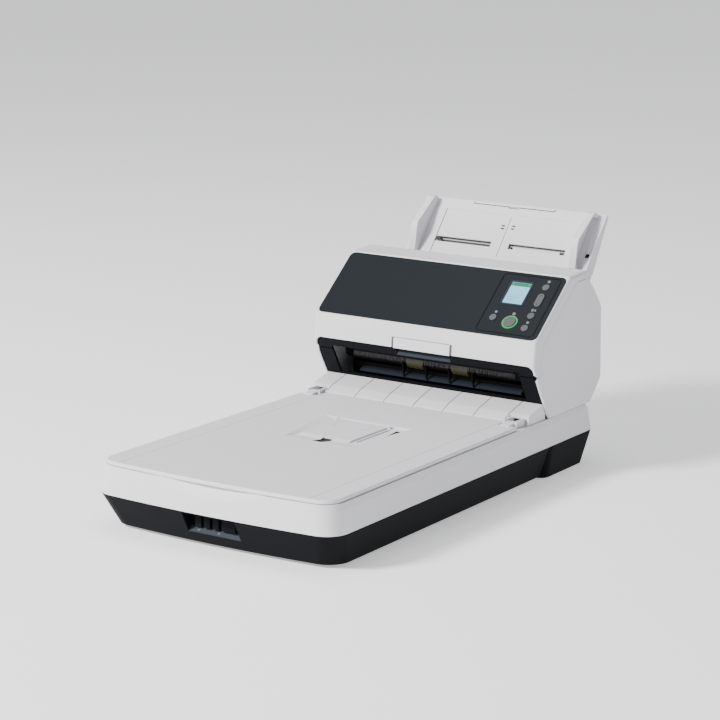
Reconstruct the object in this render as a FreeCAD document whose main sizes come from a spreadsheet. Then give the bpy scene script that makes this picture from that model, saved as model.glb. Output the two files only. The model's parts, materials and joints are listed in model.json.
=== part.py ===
import FreeCAD, Part
import os
import re
import Sketcher

# Sheet fed document scanner on an A4 flatbed, built as separate sub-parts in one frame.
# X runs to the right, Y to the back, Z up; the origin is the floor under the middle of the
# machine. Sizes are in millimetres and degrees. Heights and depths of the feeder are given
# from the floor and from the rear line, the plane that closes the flatbed's back.

V = FreeCAD.Vector
doc = FreeCAD.newDocument("document_scanner")
sheet = doc.addObject("Spreadsheet::Sheet", "Sizes")

# ------------------------------------------------------------------ sizes
SIZES = [
    ("rear_line", 238.6, "origin to the rear line"),
    ("base_width", 300.0, "flatbed at its widest, where light and dark shells meet"),
    ("base_length", 553.7, "rear line to the middle of the bowed front"),
    ("front_bow", 7.2, "how far the front bulges in the middle"),
    ("front_corner", 25.0, "front corner radius in plan"),
    ("rear_corner", 12.0, "rear corner radius in plan"),
    ("case_wall", 2.8, "wall of the flatbed shells"),
    ("case_floor", 3.5, "underside of the dark case above the floor"),
    ("case_tuck", 10.0, "how far the dark case narrows each side towards its underside"),
    ("case_front_tuck", 19.3, "how far the case front slopes back"),
    ("case_rear_tuck", 14.0, "how far the case back slopes in"),
    ("skirt_floor", 1.0, "underside of the deeper skirt under the feeder"),
    ("skirt_tuck", 5.1, "how far the skirt narrows each side"),
    ("skirt_length", 108.0, "skirt measured ahead of the rear line"),
    ("joint_height", 38.8, "line where the light shell meets the dark case"),
    ("joint_gap", 0.3, "shadow gap between shells"),
    ("base_rear_over", 4.5, "bulge of the base behind the rear line at the joint"),
    ("shoulder_height", 63.0, "where the light shell starts to lean in"),
    ("shoulder_tuck", 3.2, "shell lean each side at the shoulder"),
    ("deck_tuck", 4.8, "shell lean each side at the deck"),
    ("deck_height", 69.4, "top of the flatbed deck"),
    ("deck_thickness", 7.9, "deck plate carrying the glass"),
    ("cavity_front", 15.0, "solid depth behind the shell's front"),
    ("scoop_width", 142.0, "finger scoop in the front of the light shell"),
    ("scoop_drop", 14.5, "foot of the scoop below the deck"),
    ("scoop_depth", 11.0, "scoop cut into the front, at the deck"),
    ("glass_width", 228.0, "flatbed glass"),
    ("glass_length", 330.0, "flatbed glass"),
    ("glass_thickness", 2.8, "flatbed glass"),
    ("glass_front", 24.0, "base front to the glass"),
    ("glass_lip", 6.0, "ledge under the glass edge"),
    ("glass_top", 67.4, "upper face of the glass"),
    ("fit_gap", 0.2, "assembly gap between fixed pieces"),
    ("run_gap", 0.4, "gap between moving pieces"),
    ("shaft_gap", 0.05, "radial clearance of a shaft in its bore"),
    ("pad_margin", 6.0, "recess for the lid pad around the glass"),
    ("foot_radius", 9.0, "rubber foot"),
    ("foot_sink", 1.5, "foot set into the case"),
    ("foot_inset_x", 112.0, "feet either side of the middle"),
    ("foot_front", 62.0, "base front to the front feet"),
    ("foot_rear", 150.0, "rear line to the rear feet"),
    # lock recess
    ("recess_left", 31.0, "lock recess left of the middle"),
    ("recess_right", 34.0, "lock recess right of the middle"),
    ("recess_top", 37.4, "top of the lock recess"),
    ("recess_bottom", 14.8, "foot of the lock recess"),
    ("recess_back", 21.5, "base front to the back of the lock recess"),
    ("recess_block", 3.5, "moulding around the lock recess"),
    ("lock_left", 24.0, "lock slider left of the middle when unlocked"),
    ("lock_width", 51.0, "lock slider"),
    ("lock_margin", 0.6, "first rib in from the slider's end"),
    ("lock_travel", 6.8, "slider travel"),
    ("lock_height", 11.8, "lock slider"),
    ("lock_floor", 21.4, "underside of the lock slider"),
    ("lock_depth", 3.1, "plate of the lock slider"),
    ("rib_width", 7.4, "rib on the lock slider"),
    ("rib_stand", 4.0, "rib on the lock slider"),
    ("rib_pitch", 10.9, "ribs on the lock slider"),
    ("tongue_inset", 8.0, "tongue in from the slider's ends"),
    ("tongue_height", 3.0, "tongue through the recess back"),
    ("ledge_rise", 5.8, "rise of the icon ledge"),
    ("ledge_run", 4.4, "depth of the icon ledge's slope"),
    # document lid
    ("lid_width", 286.0, "document lid"),
    ("lid_front_tuck", 3.9, "lid front behind the base front"),
    ("lid_underside", 70.1, "lid"),
    ("lid_top", 74.0, "lid"),
    ("lid_rear", 156.6, "lid back edge ahead of the rear line"),
    ("lid_corner", 21.0, "lid corner radius"),
    ("lid_notch_depth", 15.0, "lid cut back for its hinges"),
    ("lid_notch_inner", 119.5, "hinge notch starts this far from the middle"),
    ("seam_width", 0.7, "fine seams"),
    ("seam_depth", 0.9, "fine seams"),
    ("lid_seam_front", 117.0, "side seam from the middle, at the front"),
    ("lid_seam_rear", 120.0, "side seam from the middle, at the back"),
    ("lid_axis_forward", 160.0, "lid hinge axis ahead of the rear line"),
    ("lid_axis_height", 72.2, "lid hinge axis"),
    ("lug_inner", 124.5, "lid lug from the middle"),
    ("lug_width", 11.0, "lid lug"),
    ("lug_radius", 4.6, "lid lug"),
    ("lid_pin_radius", 2.0, "lid pin"),
    ("ear_width", 3.0, "hinge ear"),
    ("pad_thickness", 2.4, "white pad under the lid"),
    # stopper in the lid
    ("well_floor", 71.7, "floor of the stopper well"),
    ("well_rear", 247.0, "stopper well, back edge ahead of the rear line"),
    ("well_front", 351.0, "stopper well, front edge ahead of the rear line"),
    ("well_ease", 15.0, "slope between the well's front edge and its floor"),
    ("well_rear_left", 59.0, "back edge of the well left of the middle"),
    ("well_rear_right", 54.0, "back edge of the well right of the middle"),
    ("well_front_left", 43.5, "front edge of the well left of the middle"),
    ("well_front_right", 41.0, "front edge of the well right of the middle"),
    ("flap_left", 38.0, "stopper flap left of the middle"),
    ("flap_right", 27.0, "stopper flap right of the middle"),
    ("flap_rear", 251.0, "stopper flap back edge ahead of the rear line"),
    ("flap_length", 81.0, "stopper flap"),
    ("flap_bevel", 6.0, "sloped front edge of the flap"),
    ("flap_bevel_drop", 1.3, "sloped front edge of the flap"),
    ("flap_thickness", 1.8, "stopper flap"),
    ("door_left", 28.0, "outlined door in the flap left of the middle"),
    ("door_right", 15.0, "outlined door in the flap right of the middle"),
    ("door_length", 32.0, "outlined door in the flap"),
    ("door_radius", 9.0, "outlined door in the flap"),
    ("flap_pin_radius", 0.7, "trunnion of the flap"),
    ("flap_cheek", 3.0, "raised cheek carrying the trunnion"),
    ("finger_width", 13.0, "finger notch ahead of the flap"),
    # ramp
    ("ramp_front", 155.4, "ramp front ahead of the rear line"),
    ("ramp_front_top", 75.6, "top of the ramp's front edge"),
    ("ramp_rear", 113.0, "top of the ramp ahead of the rear line"),
    ("ramp_top", 88.2, "top of the ramp"),
    ("ramp_back", 105.5, "back of the ramp ahead of the rear line"),
    ("ramp_width", 286.0, "ramp"),
    ("ramp_wall", 2.6, "ramp"),
    ("ramp_notch", 144.0, "ramp cut back for the hinges to here ahead of the rear line"),
    ("groove_pitch", 39.3, "ramp grooves"),
    ("groove_width", 0.9, "ramp grooves"),
    ("groove_depth", 0.7, "ramp grooves"),
    # feeder shells
    ("feeder_width", 292.8, "feeder across its side covers"),
    ("cover_wall", 2.6, "feeder shell wall"),
    ("feeder_floor", 69.6, "underside of the feeder shells"),
    ("panel_tilt", 38.75, "control panel from level"),
    ("panel_length", 99.9, "control panel face along the slope"),
    ("panel_depth", 1.8, "control panel plate"),
    ("panel_rim", 2.4, "light rim around the panel"),
    ("panel_corner", 7.0, "panel corner radius"),
    ("shell_edge", 4.0, "rounded edges of the top cover"),
    ("side_edge", 1.8, "rounded back edges of the side covers"),
    ("cover_lap", 7.5, "lip of a side cover beside the rear cover"),
    ("cover_skin", 3.8, "skin of the top cover"),
    ("hinge_y", 22.0, "cover hinge axis ahead of the rear line"),
    ("hinge_z", 221.0, "cover hinge axis"),
    ("hinge_pin_radius", 1.5, "cover pin"),
    ("hinge_boss_radius", 3.0, "boss around the cover pin"),
    ("tower_inner", 121.0, "hinge tower from the middle"),
    ("tower_outer", 129.5, "hinge tower from the middle"),
    ("tower_head", 3.2, "head of the hinge tower"),
    ("guide_width", 236.0, "upper paper guide"),
    ("frame_width", 243.0, "lower feeder frame"),
    ("frame_wall", 3.5, "feeder frame wall"),
    ("frame_front", 91.5, "front of the feeder frame ahead of the rear line"),
    ("path_gap", 3.0, "paper gap between lower and upper guides"),
    ("mouth_width", 248.0, "opening of the mouth"),
    ("mouth_depth", 3.0, "mouth bezel"),
    ("mouth_corner", 8.0, "rounded upper corners of the mouth"),
    ("chin_foot", 126.0, "underside of the dark bar over the mouth"),
    ("chin_ends", 122.7, "underside of the dark bar's ends"),
    ("chin_depth", 10.0, "dark bar over the mouth"),
    ("chin_recess", 72.0, "finger recess under the lever"),
    ("lever_width", 74.0, "cover lever"),
    ("lever_height", 12.0, "cover lever"),
    ("lever_depth", 3.0, "cover lever"),
    ("lever_pin_radius", 1.0, "cover lever trunnion"),
    # rollers
    ("exit_roller_radius", 9.0, "exit roller"),
    ("exit_roller_width", 21.0, "exit roller"),
    ("roller_spread", 29.9, "feed and exit rollers either side of the middle"),
    ("shaft_radius", 3.0, "roller shafts"),
    ("core_wall", 0.9, "hub of a roller set over its shaft"),
    ("core_room", 0.5, "clearance of the feeder frame round a hub"),
    ("feed_roller_radius", 10.0, "feed roller"),
    ("pick_roller_radius", 10.6, "pick roller"),
    ("pick_roller_width", 16.0, "pick roller"),
    ("pick_spread", 18.0, "pick and brake rollers either side of the middle"),
    ("brake_roller_radius", 8.5, "brake roller"),
    ("pulley_radius", 9.0, "feeder belt pulley"),
    ("pulley_width", 7.0, "feeder belt pulley"),
    ("belt_thickness", 1.2, "drive belts"),
    ("belt_gap", 0.3, "belt to pulley"),
    ("brush_width", 214.0, "antistatic brush"),
    ("exit_rib_width", 1.8, "pointed exit ribs"),
    ("exit_rib_pitch", 31.0, "pointed exit ribs"),
    ("exit_strip_width", 216.0, "exit guide strip"),
    # controls, measured from the panel's top edge down the slope
    ("button_stand", 1.3, "buttons above the panel"),
    ("button_gap", 0.35, "around the buttons"),
    ("button_flange", 0.9, "captive flange under the shell"),
    ("small_radius", 4.4, "small buttons"),
    ("column_x", 123.8, "right hand button column"),
    ("menu_s", 20.0, "menu button"),
    ("rocker_s", 39.5, "arrow rocker"),
    ("rocker_length", 19.4, "arrow rocker"),
    ("rocker_width", 8.6, "arrow rocker"),
    ("rocker_pin_radius", 0.8, "arrow rocker pivot"),
    ("rocker_pin_depth", 3.7, "arrow rocker pivot below the panel"),
    ("manual_s", 63.2, "manual feed button"),
    ("power_s", 81.6, "power button"),
    ("stop_x", 79.3, "stop button"),
    ("stop_s", 72.1, "stop button"),
    ("scan_x", 102.2, "scan button"),
    ("scan_s", 75.7, "scan button"),
    ("scan_radius", 7.4, "scan button"),
    ("ring_radius", 9.4, "light ring"),
    ("field_left", 65.5, "outlined control field"),
    ("field_right", 138.0, "outlined control field"),
    ("field_top", 6.0, "outlined control field"),
    ("field_bottom", 93.5, "outlined control field"),
    ("field_corner", 5.0, "outlined control field"),
    ("screen_left", 78.0, "display window"),
    ("screen_width", 29.0, "display window"),
    ("screen_top", 15.0, "display window"),
    ("screen_height", 36.0, "display window"),
    ("screen_border", 2.0, "display bezel"),
    # chute
    ("chute_tilt", 50.1, "paper chute from level"),
    ("chute_width", 245.0, "paper chute"),
    ("chute_length", 108.0, "paper chute along its slope"),
    ("chute_skin", 3.0, "paper chute"),
    ("chute_lip", 4.8, "chute thickness at its top"),
    ("chute_heel", 17.0, "chute thickness at its deepest"),
    ("chute_heel_start", 66.0, "deepest part, from the top"),
    ("chute_heel_end", 84.0, "deepest part, from the top"),
    ("chute_toe", 6.0, "chute thickness at its foot"),
    ("slot_inner", 12.0, "rack slots from the middle"),
    ("slot_outer", 89.5, "rack slots from the middle"),
    ("slot_top", 53.3, "rack slots from the top"),
    ("slot_height", 7.2, "rack slots"),
    ("wing_inner", 104.0, "side guide faces from the middle"),
    ("wing_thickness", 8.5, "side guide wing"),
    ("wing_wall", 1.8, "side guide wing"),
    ("foot_plate", 16.0, "side guide foot inwards of the wing"),
    ("foot_head", 14.6, "side guide foot, its head from the chute's top"),
    ("foot_toe", 78.0, "side guide foot, its toe from the chute's top"),
    ("foot_thickness", 0.9, "side guide foot"),
    ("stem_width", 2.6, "side guide stem along the slope"),
    ("rack_height", 2.2, "side guide rack"),
    ("extension_width", 109.0, "pull-out extension"),
    ("extension_length", 48.0, "pull-out extension in the chute"),
    ("extension_plate", 2.4, "pull-out extension"),
    ("extension_head", 2.8, "extension head, set into the chute's edge"),
    ("thumb_notch", 14.0, "thumb notch at the extension"),
    ("groove_left", 1.0, "centre groove of the chute right of the middle"),
    ("centre_groove", 3.4, "centre groove of the chute"),
    # carriage and drive
    ("carriage_width", 222.0, "scan carriage"),
    ("carriage_length", 30.0, "scan carriage"),
    ("carriage_floor", 34.5, "underside of the carriage"),
    ("carriage_top", 58.0, "top of the carriage"),
    ("carriage_front", 34.0, "base front to the parked carriage"),
    ("rod_radius", 3.0, "guide rod"),
    ("rod_x", 40.0, "guide rod right of the middle"),
    ("rod_height", 42.0, "guide rod"),
    ("rod_length", 345.0, "guide rod"),
    ("rod_front", 22.0, "base front to the guide rod"),
    ("drive_x", 20.0, "carriage belt left of the middle"),
    ("drive_height", 23.5, "carriage belt"),
    ("drive_pulley_radius", 7.0, "carriage belt pulley"),
    ("drive_span", 300.0, "carriage belt between its ends"),
    ("motor_radius", 17.0, "stepper motors"),
    ("motor_height", 16.0, "stepper motors"),
    ("board_thickness", 1.6, "circuit boards"),
]

# Profile corners of the feeder seen from its right side: behind the rear line (+) or ahead
# of it (-), and above the floor.
POINTS = [
    ("sill", -101.6, "feeder shell, front end of the seam to the base"),
    ("mouth_foot", -107.0, "foot of the mouth"),
    ("mouth_mid", -124.5, "mouth edge half way up"),
    ("cheek", -132.2, "side cover corner by the mouth"),
    ("chin", -137.0, "top of the mouth"),
    ("fascia_foot", -139.9, "foot of the fascia"),
    ("panel_foot", -138.5, "lower edge of the control panel"),
    ("panel_head", -60.6, "upper edge of the control panel"),
    ("crown", -21.5, "back edge of the top cover"),
    ("seam_rear", -20.4, "cover seam, rear end"),
    ("seam_shelf", -42.7, "cover seam, end of its level part"),
    ("seam_bend", -50.0, "cover seam, start of its slope"),
    ("seam_slope", -119.7, "cover seam, end of its slope"),
    ("seam_drop", -123.3, "cover seam, start of its drop"),
    ("seam_low", -123.8, "cover seam, end of its drop"),
    ("seam_hook", -120.7, "cover seam, hook behind the mouth"),
    ("seam_end", -129.3, "cover seam, front end"),
    ("side_step", -13.7, "side cover behind the top cover"),
    ("side_slope", 9.9, "side cover, foot of the slope beside the chute"),
    ("side_knee", 16.3, "side cover, bend at the back"),
    ("back_top", 19.0, "feeder back, upper end"),
    ("back_low", 23.8, "feeder back, lower end"),
    ("back_turn", 20.8, "feeder back, bend"),
    ("back_foot", -2.6, "feeder back, foot"),
    ("path_mid", -30.0, "paper path, bend"),
    ("path_exit", -93.0, "paper path, exit"),
    ("pick_axis", -9.3, "pick roller axis"),
    ("feed_axis", -69.4, "feed roller axis"),
    ("brake_axis", -21.6, "brake roller axis"),
    ("exit_axis", -95.7, "exit roller axis"),
    ("chute_head", 72.6, "top edge of the chute's paper face"),
]
HEIGHTS = dict(
    sill=70.6, mouth_foot=78.6, mouth_mid=105.3, cheek=118.2, chin=125.9, fascia_foot=135.4,
    panel_foot=163.1, panel_head=225.6, crown=227.4, seam_rear=218.3, seam_shelf=217.8,
    seam_bend=214.2, seam_slope=157.5, seam_drop=152.3, seam_low=131.4, seam_hook=126.2,
    seam_end=121.9, side_step=214.6, side_slope=192.0, side_knee=184.4, back_top=179.4,
    back_low=96.9, back_turn=93.0, back_foot=70.6, path_mid=154.2, path_exit=105.0,
    pick_axis=161.2, feed_axis=109.9, brake_axis=179.7, exit_axis=112.2, chute_head=277.0)

NAMES = set()


def fill_sheet():
    rows = list(SIZES)
    for name, depth, meaning in POINTS:
        rows.append((name + "_y", depth, meaning))
        rows.append((name + "_z", HEIGHTS[name], meaning))
    for row, (name, value, meaning) in enumerate(rows, 1):
        sheet.set("A%d" % row, name)
        sheet.set("B%d" % row, str(value))
        sheet.set("C%d" % row, meaning)
        sheet.setAlias("B%d" % row, name)
        NAMES.add(name)
    doc.recompute()


def bound(text):
    """A size expression with its names tied to the sheet."""
    return re.sub(r"[a-z_][a-z_0-9]*",
                  lambda word: "Sizes." + word.group() if word.group() in NAMES else word.group(),
                  str(text))


def value(text):
    return float(sheet.evalExpression(bound(text)))


def tie(thing, prop, text):
    """Bind one property to the sheet."""
    thing.setExpression(prop, bound(text))


# ------------------------------------------------------------------ places
def depth(name):
    return "(rear_line + %s_y)" % name


def corner(name, dy="0", dz="0"):
    """A named profile corner as (Y, Z) expressions."""
    return ("(rear_line + %s_y + %s)" % (name, dy), "(%s_z + %s)" % (name, dz))


FRONT = "(rear_line - base_length)"
PANEL = ("0", depth("panel_head"), "panel_head_z", "panel_tilt")
CHUTE = ("0", depth("chute_head"), "chute_head_z", "chute_tilt")
MOUTH_LEAN = "(90 + atan((mouth_mid_y - chin_y)/(chin_z - mouth_mid_z))/(1 deg))"
MOUTH = ("0", depth("chin"), "chin_z", MOUTH_LEAN)


def place(thing, frame):
    """Put a piece drawn in a leaning frame into the machine."""
    if frame is None:
        return thing
    thing.Placement = FreeCAD.Placement(V(0, 0, 0), FreeCAD.Rotation(V(1, 0, 0), 1.0))
    for prop, text in zip(("x", "y", "z"), frame[:3]):
        tie(thing, "Placement.Base." + prop, text)
    tie(thing, "Placement.Rotation.Angle", frame[3])
    return thing


# ------------------------------------------------------------------ sketching
def origin_plane(body, role):
    return next(item for item in body.Origin.OriginFeatures if item.Role == role)


def draw_circle(sketch, x, y, radius, tag):
    number = sketch.addGeometry(Part.Circle(V(value(x), value(y), 0), V(0, 0, 1), value(radius)), False)
    for kind, axis, text, label in (("DistanceX", -2, x, "across_"), ("DistanceY", -1, y, "along_")):
        if abs(value(text)) < 1e-9:
            sketch.addConstraint(Sketcher.Constraint("PointOnObject", number, 3, axis))
            continue
        index = sketch.addConstraint(Sketcher.Constraint(kind, -1, 1, number, 3, value(text)))
        sketch.renameConstraint(index, label + tag)
        tie(sketch, "Constraints." + label + tag, text)
    index = sketch.addConstraint(Sketcher.Constraint("Radius", number, value(radius)))
    sketch.renameConstraint(index, "radius_" + tag)
    tie(sketch, "Constraints.radius_" + tag, radius)


def draw_loop(sketch, loop, tag):
    """One closed loop of lines and arcs; a third entry bulges the side that starts there."""
    if len(loop) == 1:
        draw_circle(sketch, *loop[0], tag)
        return
    count = len(loop)
    spots = [(value(item[0]), value(item[1])) for item in loop]
    sides = []
    for index in range(count):
        (x0, y0), (x1, y1) = spots[index], spots[(index + 1) % count]
        if len(loop[index]) == 3:
            rise = value(loop[index][2])
            span = ((x1 - x0) ** 2 + (y1 - y0) ** 2) ** 0.5
            peak = V((x0 + x1) / 2 + (y1 - y0) / span * rise, (y0 + y1) / 2 - (x1 - x0) / span * rise, 0)
            sides.append(Part.Arc(V(x0, y0, 0), peak, V(x1, y1, 0)))
        else:
            sides.append(Part.LineSegment(V(x0, y0, 0), V(x1, y1, 0)))
    first = sketch.GeometryCount
    sketch.addGeometry(sides, False)
    ends = []
    for index in range(count):
        start = sketch.Geometry[first + index].StartPoint
        flipped = (start - V(spots[index][0], spots[index][1], 0)).Length > 1e-6
        ends.append((2, 1) if flipped else (1, 2))
    for index in range(count):
        after = (index + 1) % count
        sketch.addConstraint(Sketcher.Constraint(
            "Coincident", first + index, ends[index][1], first + after, ends[after][0]))
    for index, item in enumerate(loop):
        for kind, axis, text, place_value in (("DistanceX", -2, item[0], spots[index][0]),
                                              ("DistanceY", -1, item[1], spots[index][1])):
            if abs(place_value) < 1e-9:
                sketch.addConstraint(Sketcher.Constraint(
                    "PointOnObject", first + index, ends[index][0], axis))
                continue
            number = sketch.addConstraint(Sketcher.Constraint(
                kind, -1, 1, first + index, ends[index][0], place_value))
            label = "%s_%s%d" % ("across" if kind == "DistanceX" else "along", tag, index)
            sketch.renameConstraint(number, label)
            tie(sketch, "Constraints." + label, text)
        if len(item) == 3:
            after = loop[(index + 1) % count]
            radius = sketch.Geometry[first + index].Radius
            x0, y0 = spots[index]
            x1, y1 = spots[(index + 1) % count]
            if abs(abs(value(item[2])) * 2 - ((x1 - x0) ** 2 + (y1 - y0) ** 2) ** 0.5) < 1e-6:
                sketch.addConstraint(Sketcher.Constraint(
                    "Symmetric", first + index, 1, first + index, 2, first + index, 3))
                continue
            number = sketch.addConstraint(Sketcher.Constraint("Radius", first + index, radius))
            label = "bend_%s%d" % (tag, index)
            sketch.renameConstraint(number, label)
            chord = "((%s)-(%s))^2 + ((%s)-(%s))^2" % (after[0], item[0], after[1], item[1])
            tie(sketch, "Constraints." + label,
                "(%s)/(8*abs(%s)) + abs(%s)/2" % (chord, item[2], item[2]))


def draw(body, role, loops, offset="0"):
    """A sketch on one of the body's own planes, moved along that plane's normal."""
    sketch = body.newObject("Sketcher::SketchObject", body.Label + "_sketch")
    sketch.AttachmentSupport = [(origin_plane(body, role), "")]
    sketch.MapMode = "FlatFace"
    tie(sketch, "AttachmentOffset.Base.z", offset)
    for number, loop in enumerate(loops):
        draw_loop(sketch, loop, chr(ord("a") + number))
    return sketch


def new_body(label):
    body = doc.addObject("PartDesign::Body", label)
    body.Label = label
    return body


def pad(body, role, loops, offset, length):
    sketch = draw(body, role, loops, offset)
    feature = body.newObject("PartDesign::Pad", body.Label + "_pad")
    feature.Profile = sketch
    tie(feature, "Length", length)
    doc.recompute()
    return feature


def pocket(body, role, loops, offset, length):
    """Removes material from the sketch against its plane's normal."""
    before = body.Shape.Volume
    sketch = draw(body, role, loops, offset)
    feature = body.newObject("PartDesign::Pocket", body.Label + "_pocket")
    feature.Profile = sketch
    tie(feature, "Length", length)
    doc.recompute()
    if not body.Shape.Volume < before - 1e-3:
        raise RuntimeError(body.Label + ": a pocket removed nothing")
    return feature


def loft(body, kind, sections):
    """A ruled loft through level outlines given as (loop, height)."""
    sketches = [draw(body, "XY_Plane", [loop], height) for loop, height in sections]
    feature = body.newObject("PartDesign::" + kind, body.Label + "_loft")
    feature.Profile = sketches[0]
    feature.Sections = sketches[1:]
    feature.Ruled = True
    doc.recompute()
    return feature


def repeat_across(body, feature, pitch, count):
    pattern = body.newObject("PartDesign::LinearPattern", body.Label + "_pattern")
    pattern.Originals = [feature]
    pattern.Direction = (origin_plane(body, "X_Axis"), [""])
    pattern.Mode = "Spacing" if "Spacing" in pattern.getEnumerationsOfProperty("Mode") else "length"
    tie(pattern, "Offset", pitch)
    pattern.Occurrences = count
    body.Tip = pattern
    doc.recompute()
    return pattern


def edges_where(shape, test):
    return ["Edge%d" % number for number, edge in enumerate(shape.Edges, 1) if test(edge)]


def soften(body, test, radius, kind="Fillet"):
    """Rounds (or chamfers) the edges that pass the test."""
    base = body.Tip
    names = edges_where(base.Shape, test)
    if not names:
        raise RuntimeError(body.Label + ": no edge to round")
    feature = body.newObject("PartDesign::" + kind, body.Label + "_" + kind.lower())
    feature.Base = (base, names)
    tie(feature, "Radius" if kind == "Fillet" else "Size", radius)
    doc.recompute()
    if not feature.isValid() or not body.Shape.isValid():
        raise RuntimeError(body.Label + ": rounding failed")
    return feature


def plate(label, role, loops, offset, length, frame=None):
    """A body made of one pad."""
    body = new_body(label)
    pad(body, role, loops, offset, length)
    return place(body, frame)


# ------------------------------------------------------------------ outlines
def turn(radius):
    """Bulge of a quarter circle side."""
    return "(%s)*0.292893" % radius


def rounded(x0, y0, x1, y1, radius):
    """Rounded rectangle, corners given low then high."""
    r = "(%s)" % radius
    x0, y0, x1, y1 = ["(%s)" % item for item in (x0, y0, x1, y1)]
    return [(x0 + "+" + r, y0), (x1 + "-" + r, y0, turn(r)), (x1, y0 + "+" + r),
            (x1, y1 + "-" + r, turn(r)), (x1 + "-" + r, y1), (x0 + "+" + r, y1, turn(r)),
            (x0, y1 + "-" + r), (x0, y0 + "+" + r, turn(r))]


def rectangle(x0, y0, x1, y1):
    return [(x0, y0), (x1, y0), (x1, y1), (x0, y1)]


def circle(x, y, radius):
    """A loop of a single circle."""
    return [(x, y, radius)]


def plan(half, front, rear, front_radius, rear_radius):
    """Plan outline of the flatbed: bowed front, rounded corners."""
    half, front, rear = ["(%s)" % item for item in (half, front, rear)]
    bow = "front_bow*((%s-%s)/%s)^2" % (half, front_radius, half)
    edge = "%s+%s" % (front, bow)
    return [("-%s+%s" % (half, front_radius), edge, bow),
            ("%s-%s" % (half, front_radius), edge, turn(front_radius)),
            (half, "%s+%s" % (edge, front_radius)),
            (half, "%s-%s" % (rear, rear_radius), turn(rear_radius)),
            ("%s-%s" % (half, rear_radius), rear),
            ("-%s+%s" % (half, rear_radius), rear, turn(rear_radius)),
            ("-" + half, "%s-%s" % (rear, rear_radius)),
            ("-" + half, "%s+%s" % (edge, front_radius), turn(front_radius))]


# ------------------------------------------------------------------ simple solids
def box(label, x0, y0, z0, x1, y1, z1):
    """Block between two corners."""
    block = doc.addObject("Part::Box", label)
    for prop, low, high in (("Length", x0, x1), ("Width", y0, y1), ("Height", z0, z1)):
        tie(block, prop, "(%s)-(%s)" % (high, low))
    for axis, low in zip("xyz", (x0, y0, z0)):
        tie(block, "Placement.Base." + axis, low)
    return block


TURNS = {"z": (V(0, 0, 1), 0), "x": (V(0, 1, 0), 90), "y": (V(1, 0, 0), -90)}


def rod(label, radius, start, length, axis="x"):
    """Round bar from a start point along an axis."""
    bar = doc.addObject("Part::Cylinder", label)
    tie(bar, "Radius", radius)
    tie(bar, "Height", length)
    bar.Placement = FreeCAD.Placement(V(0, 0, 0), FreeCAD.Rotation(*TURNS[axis]))
    for name, text in zip("xyz", start):
        tie(bar, "Placement.Base." + name, text)
    return bar


def joined(label, pieces):
    """One solid from overlapping pieces."""
    result = doc.addObject("Part::MultiFuse", label)
    result.Shapes = pieces
    result.Refine = True
    doc.recompute()
    return result


def without(label, base, tools):
    """A piece with tools cut out of it."""
    tool = tools[0] if len(tools) == 1 else joined(label + "_tools", tools)
    result = doc.addObject("Part::Cut", label)
    result.Base = base
    result.Tool = tool
    result.Refine = True
    doc.recompute()
    return result


FINISHED = []


def finish(thing, label):
    thing.Label = label
    FINISHED.append(thing)
    return thing


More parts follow.
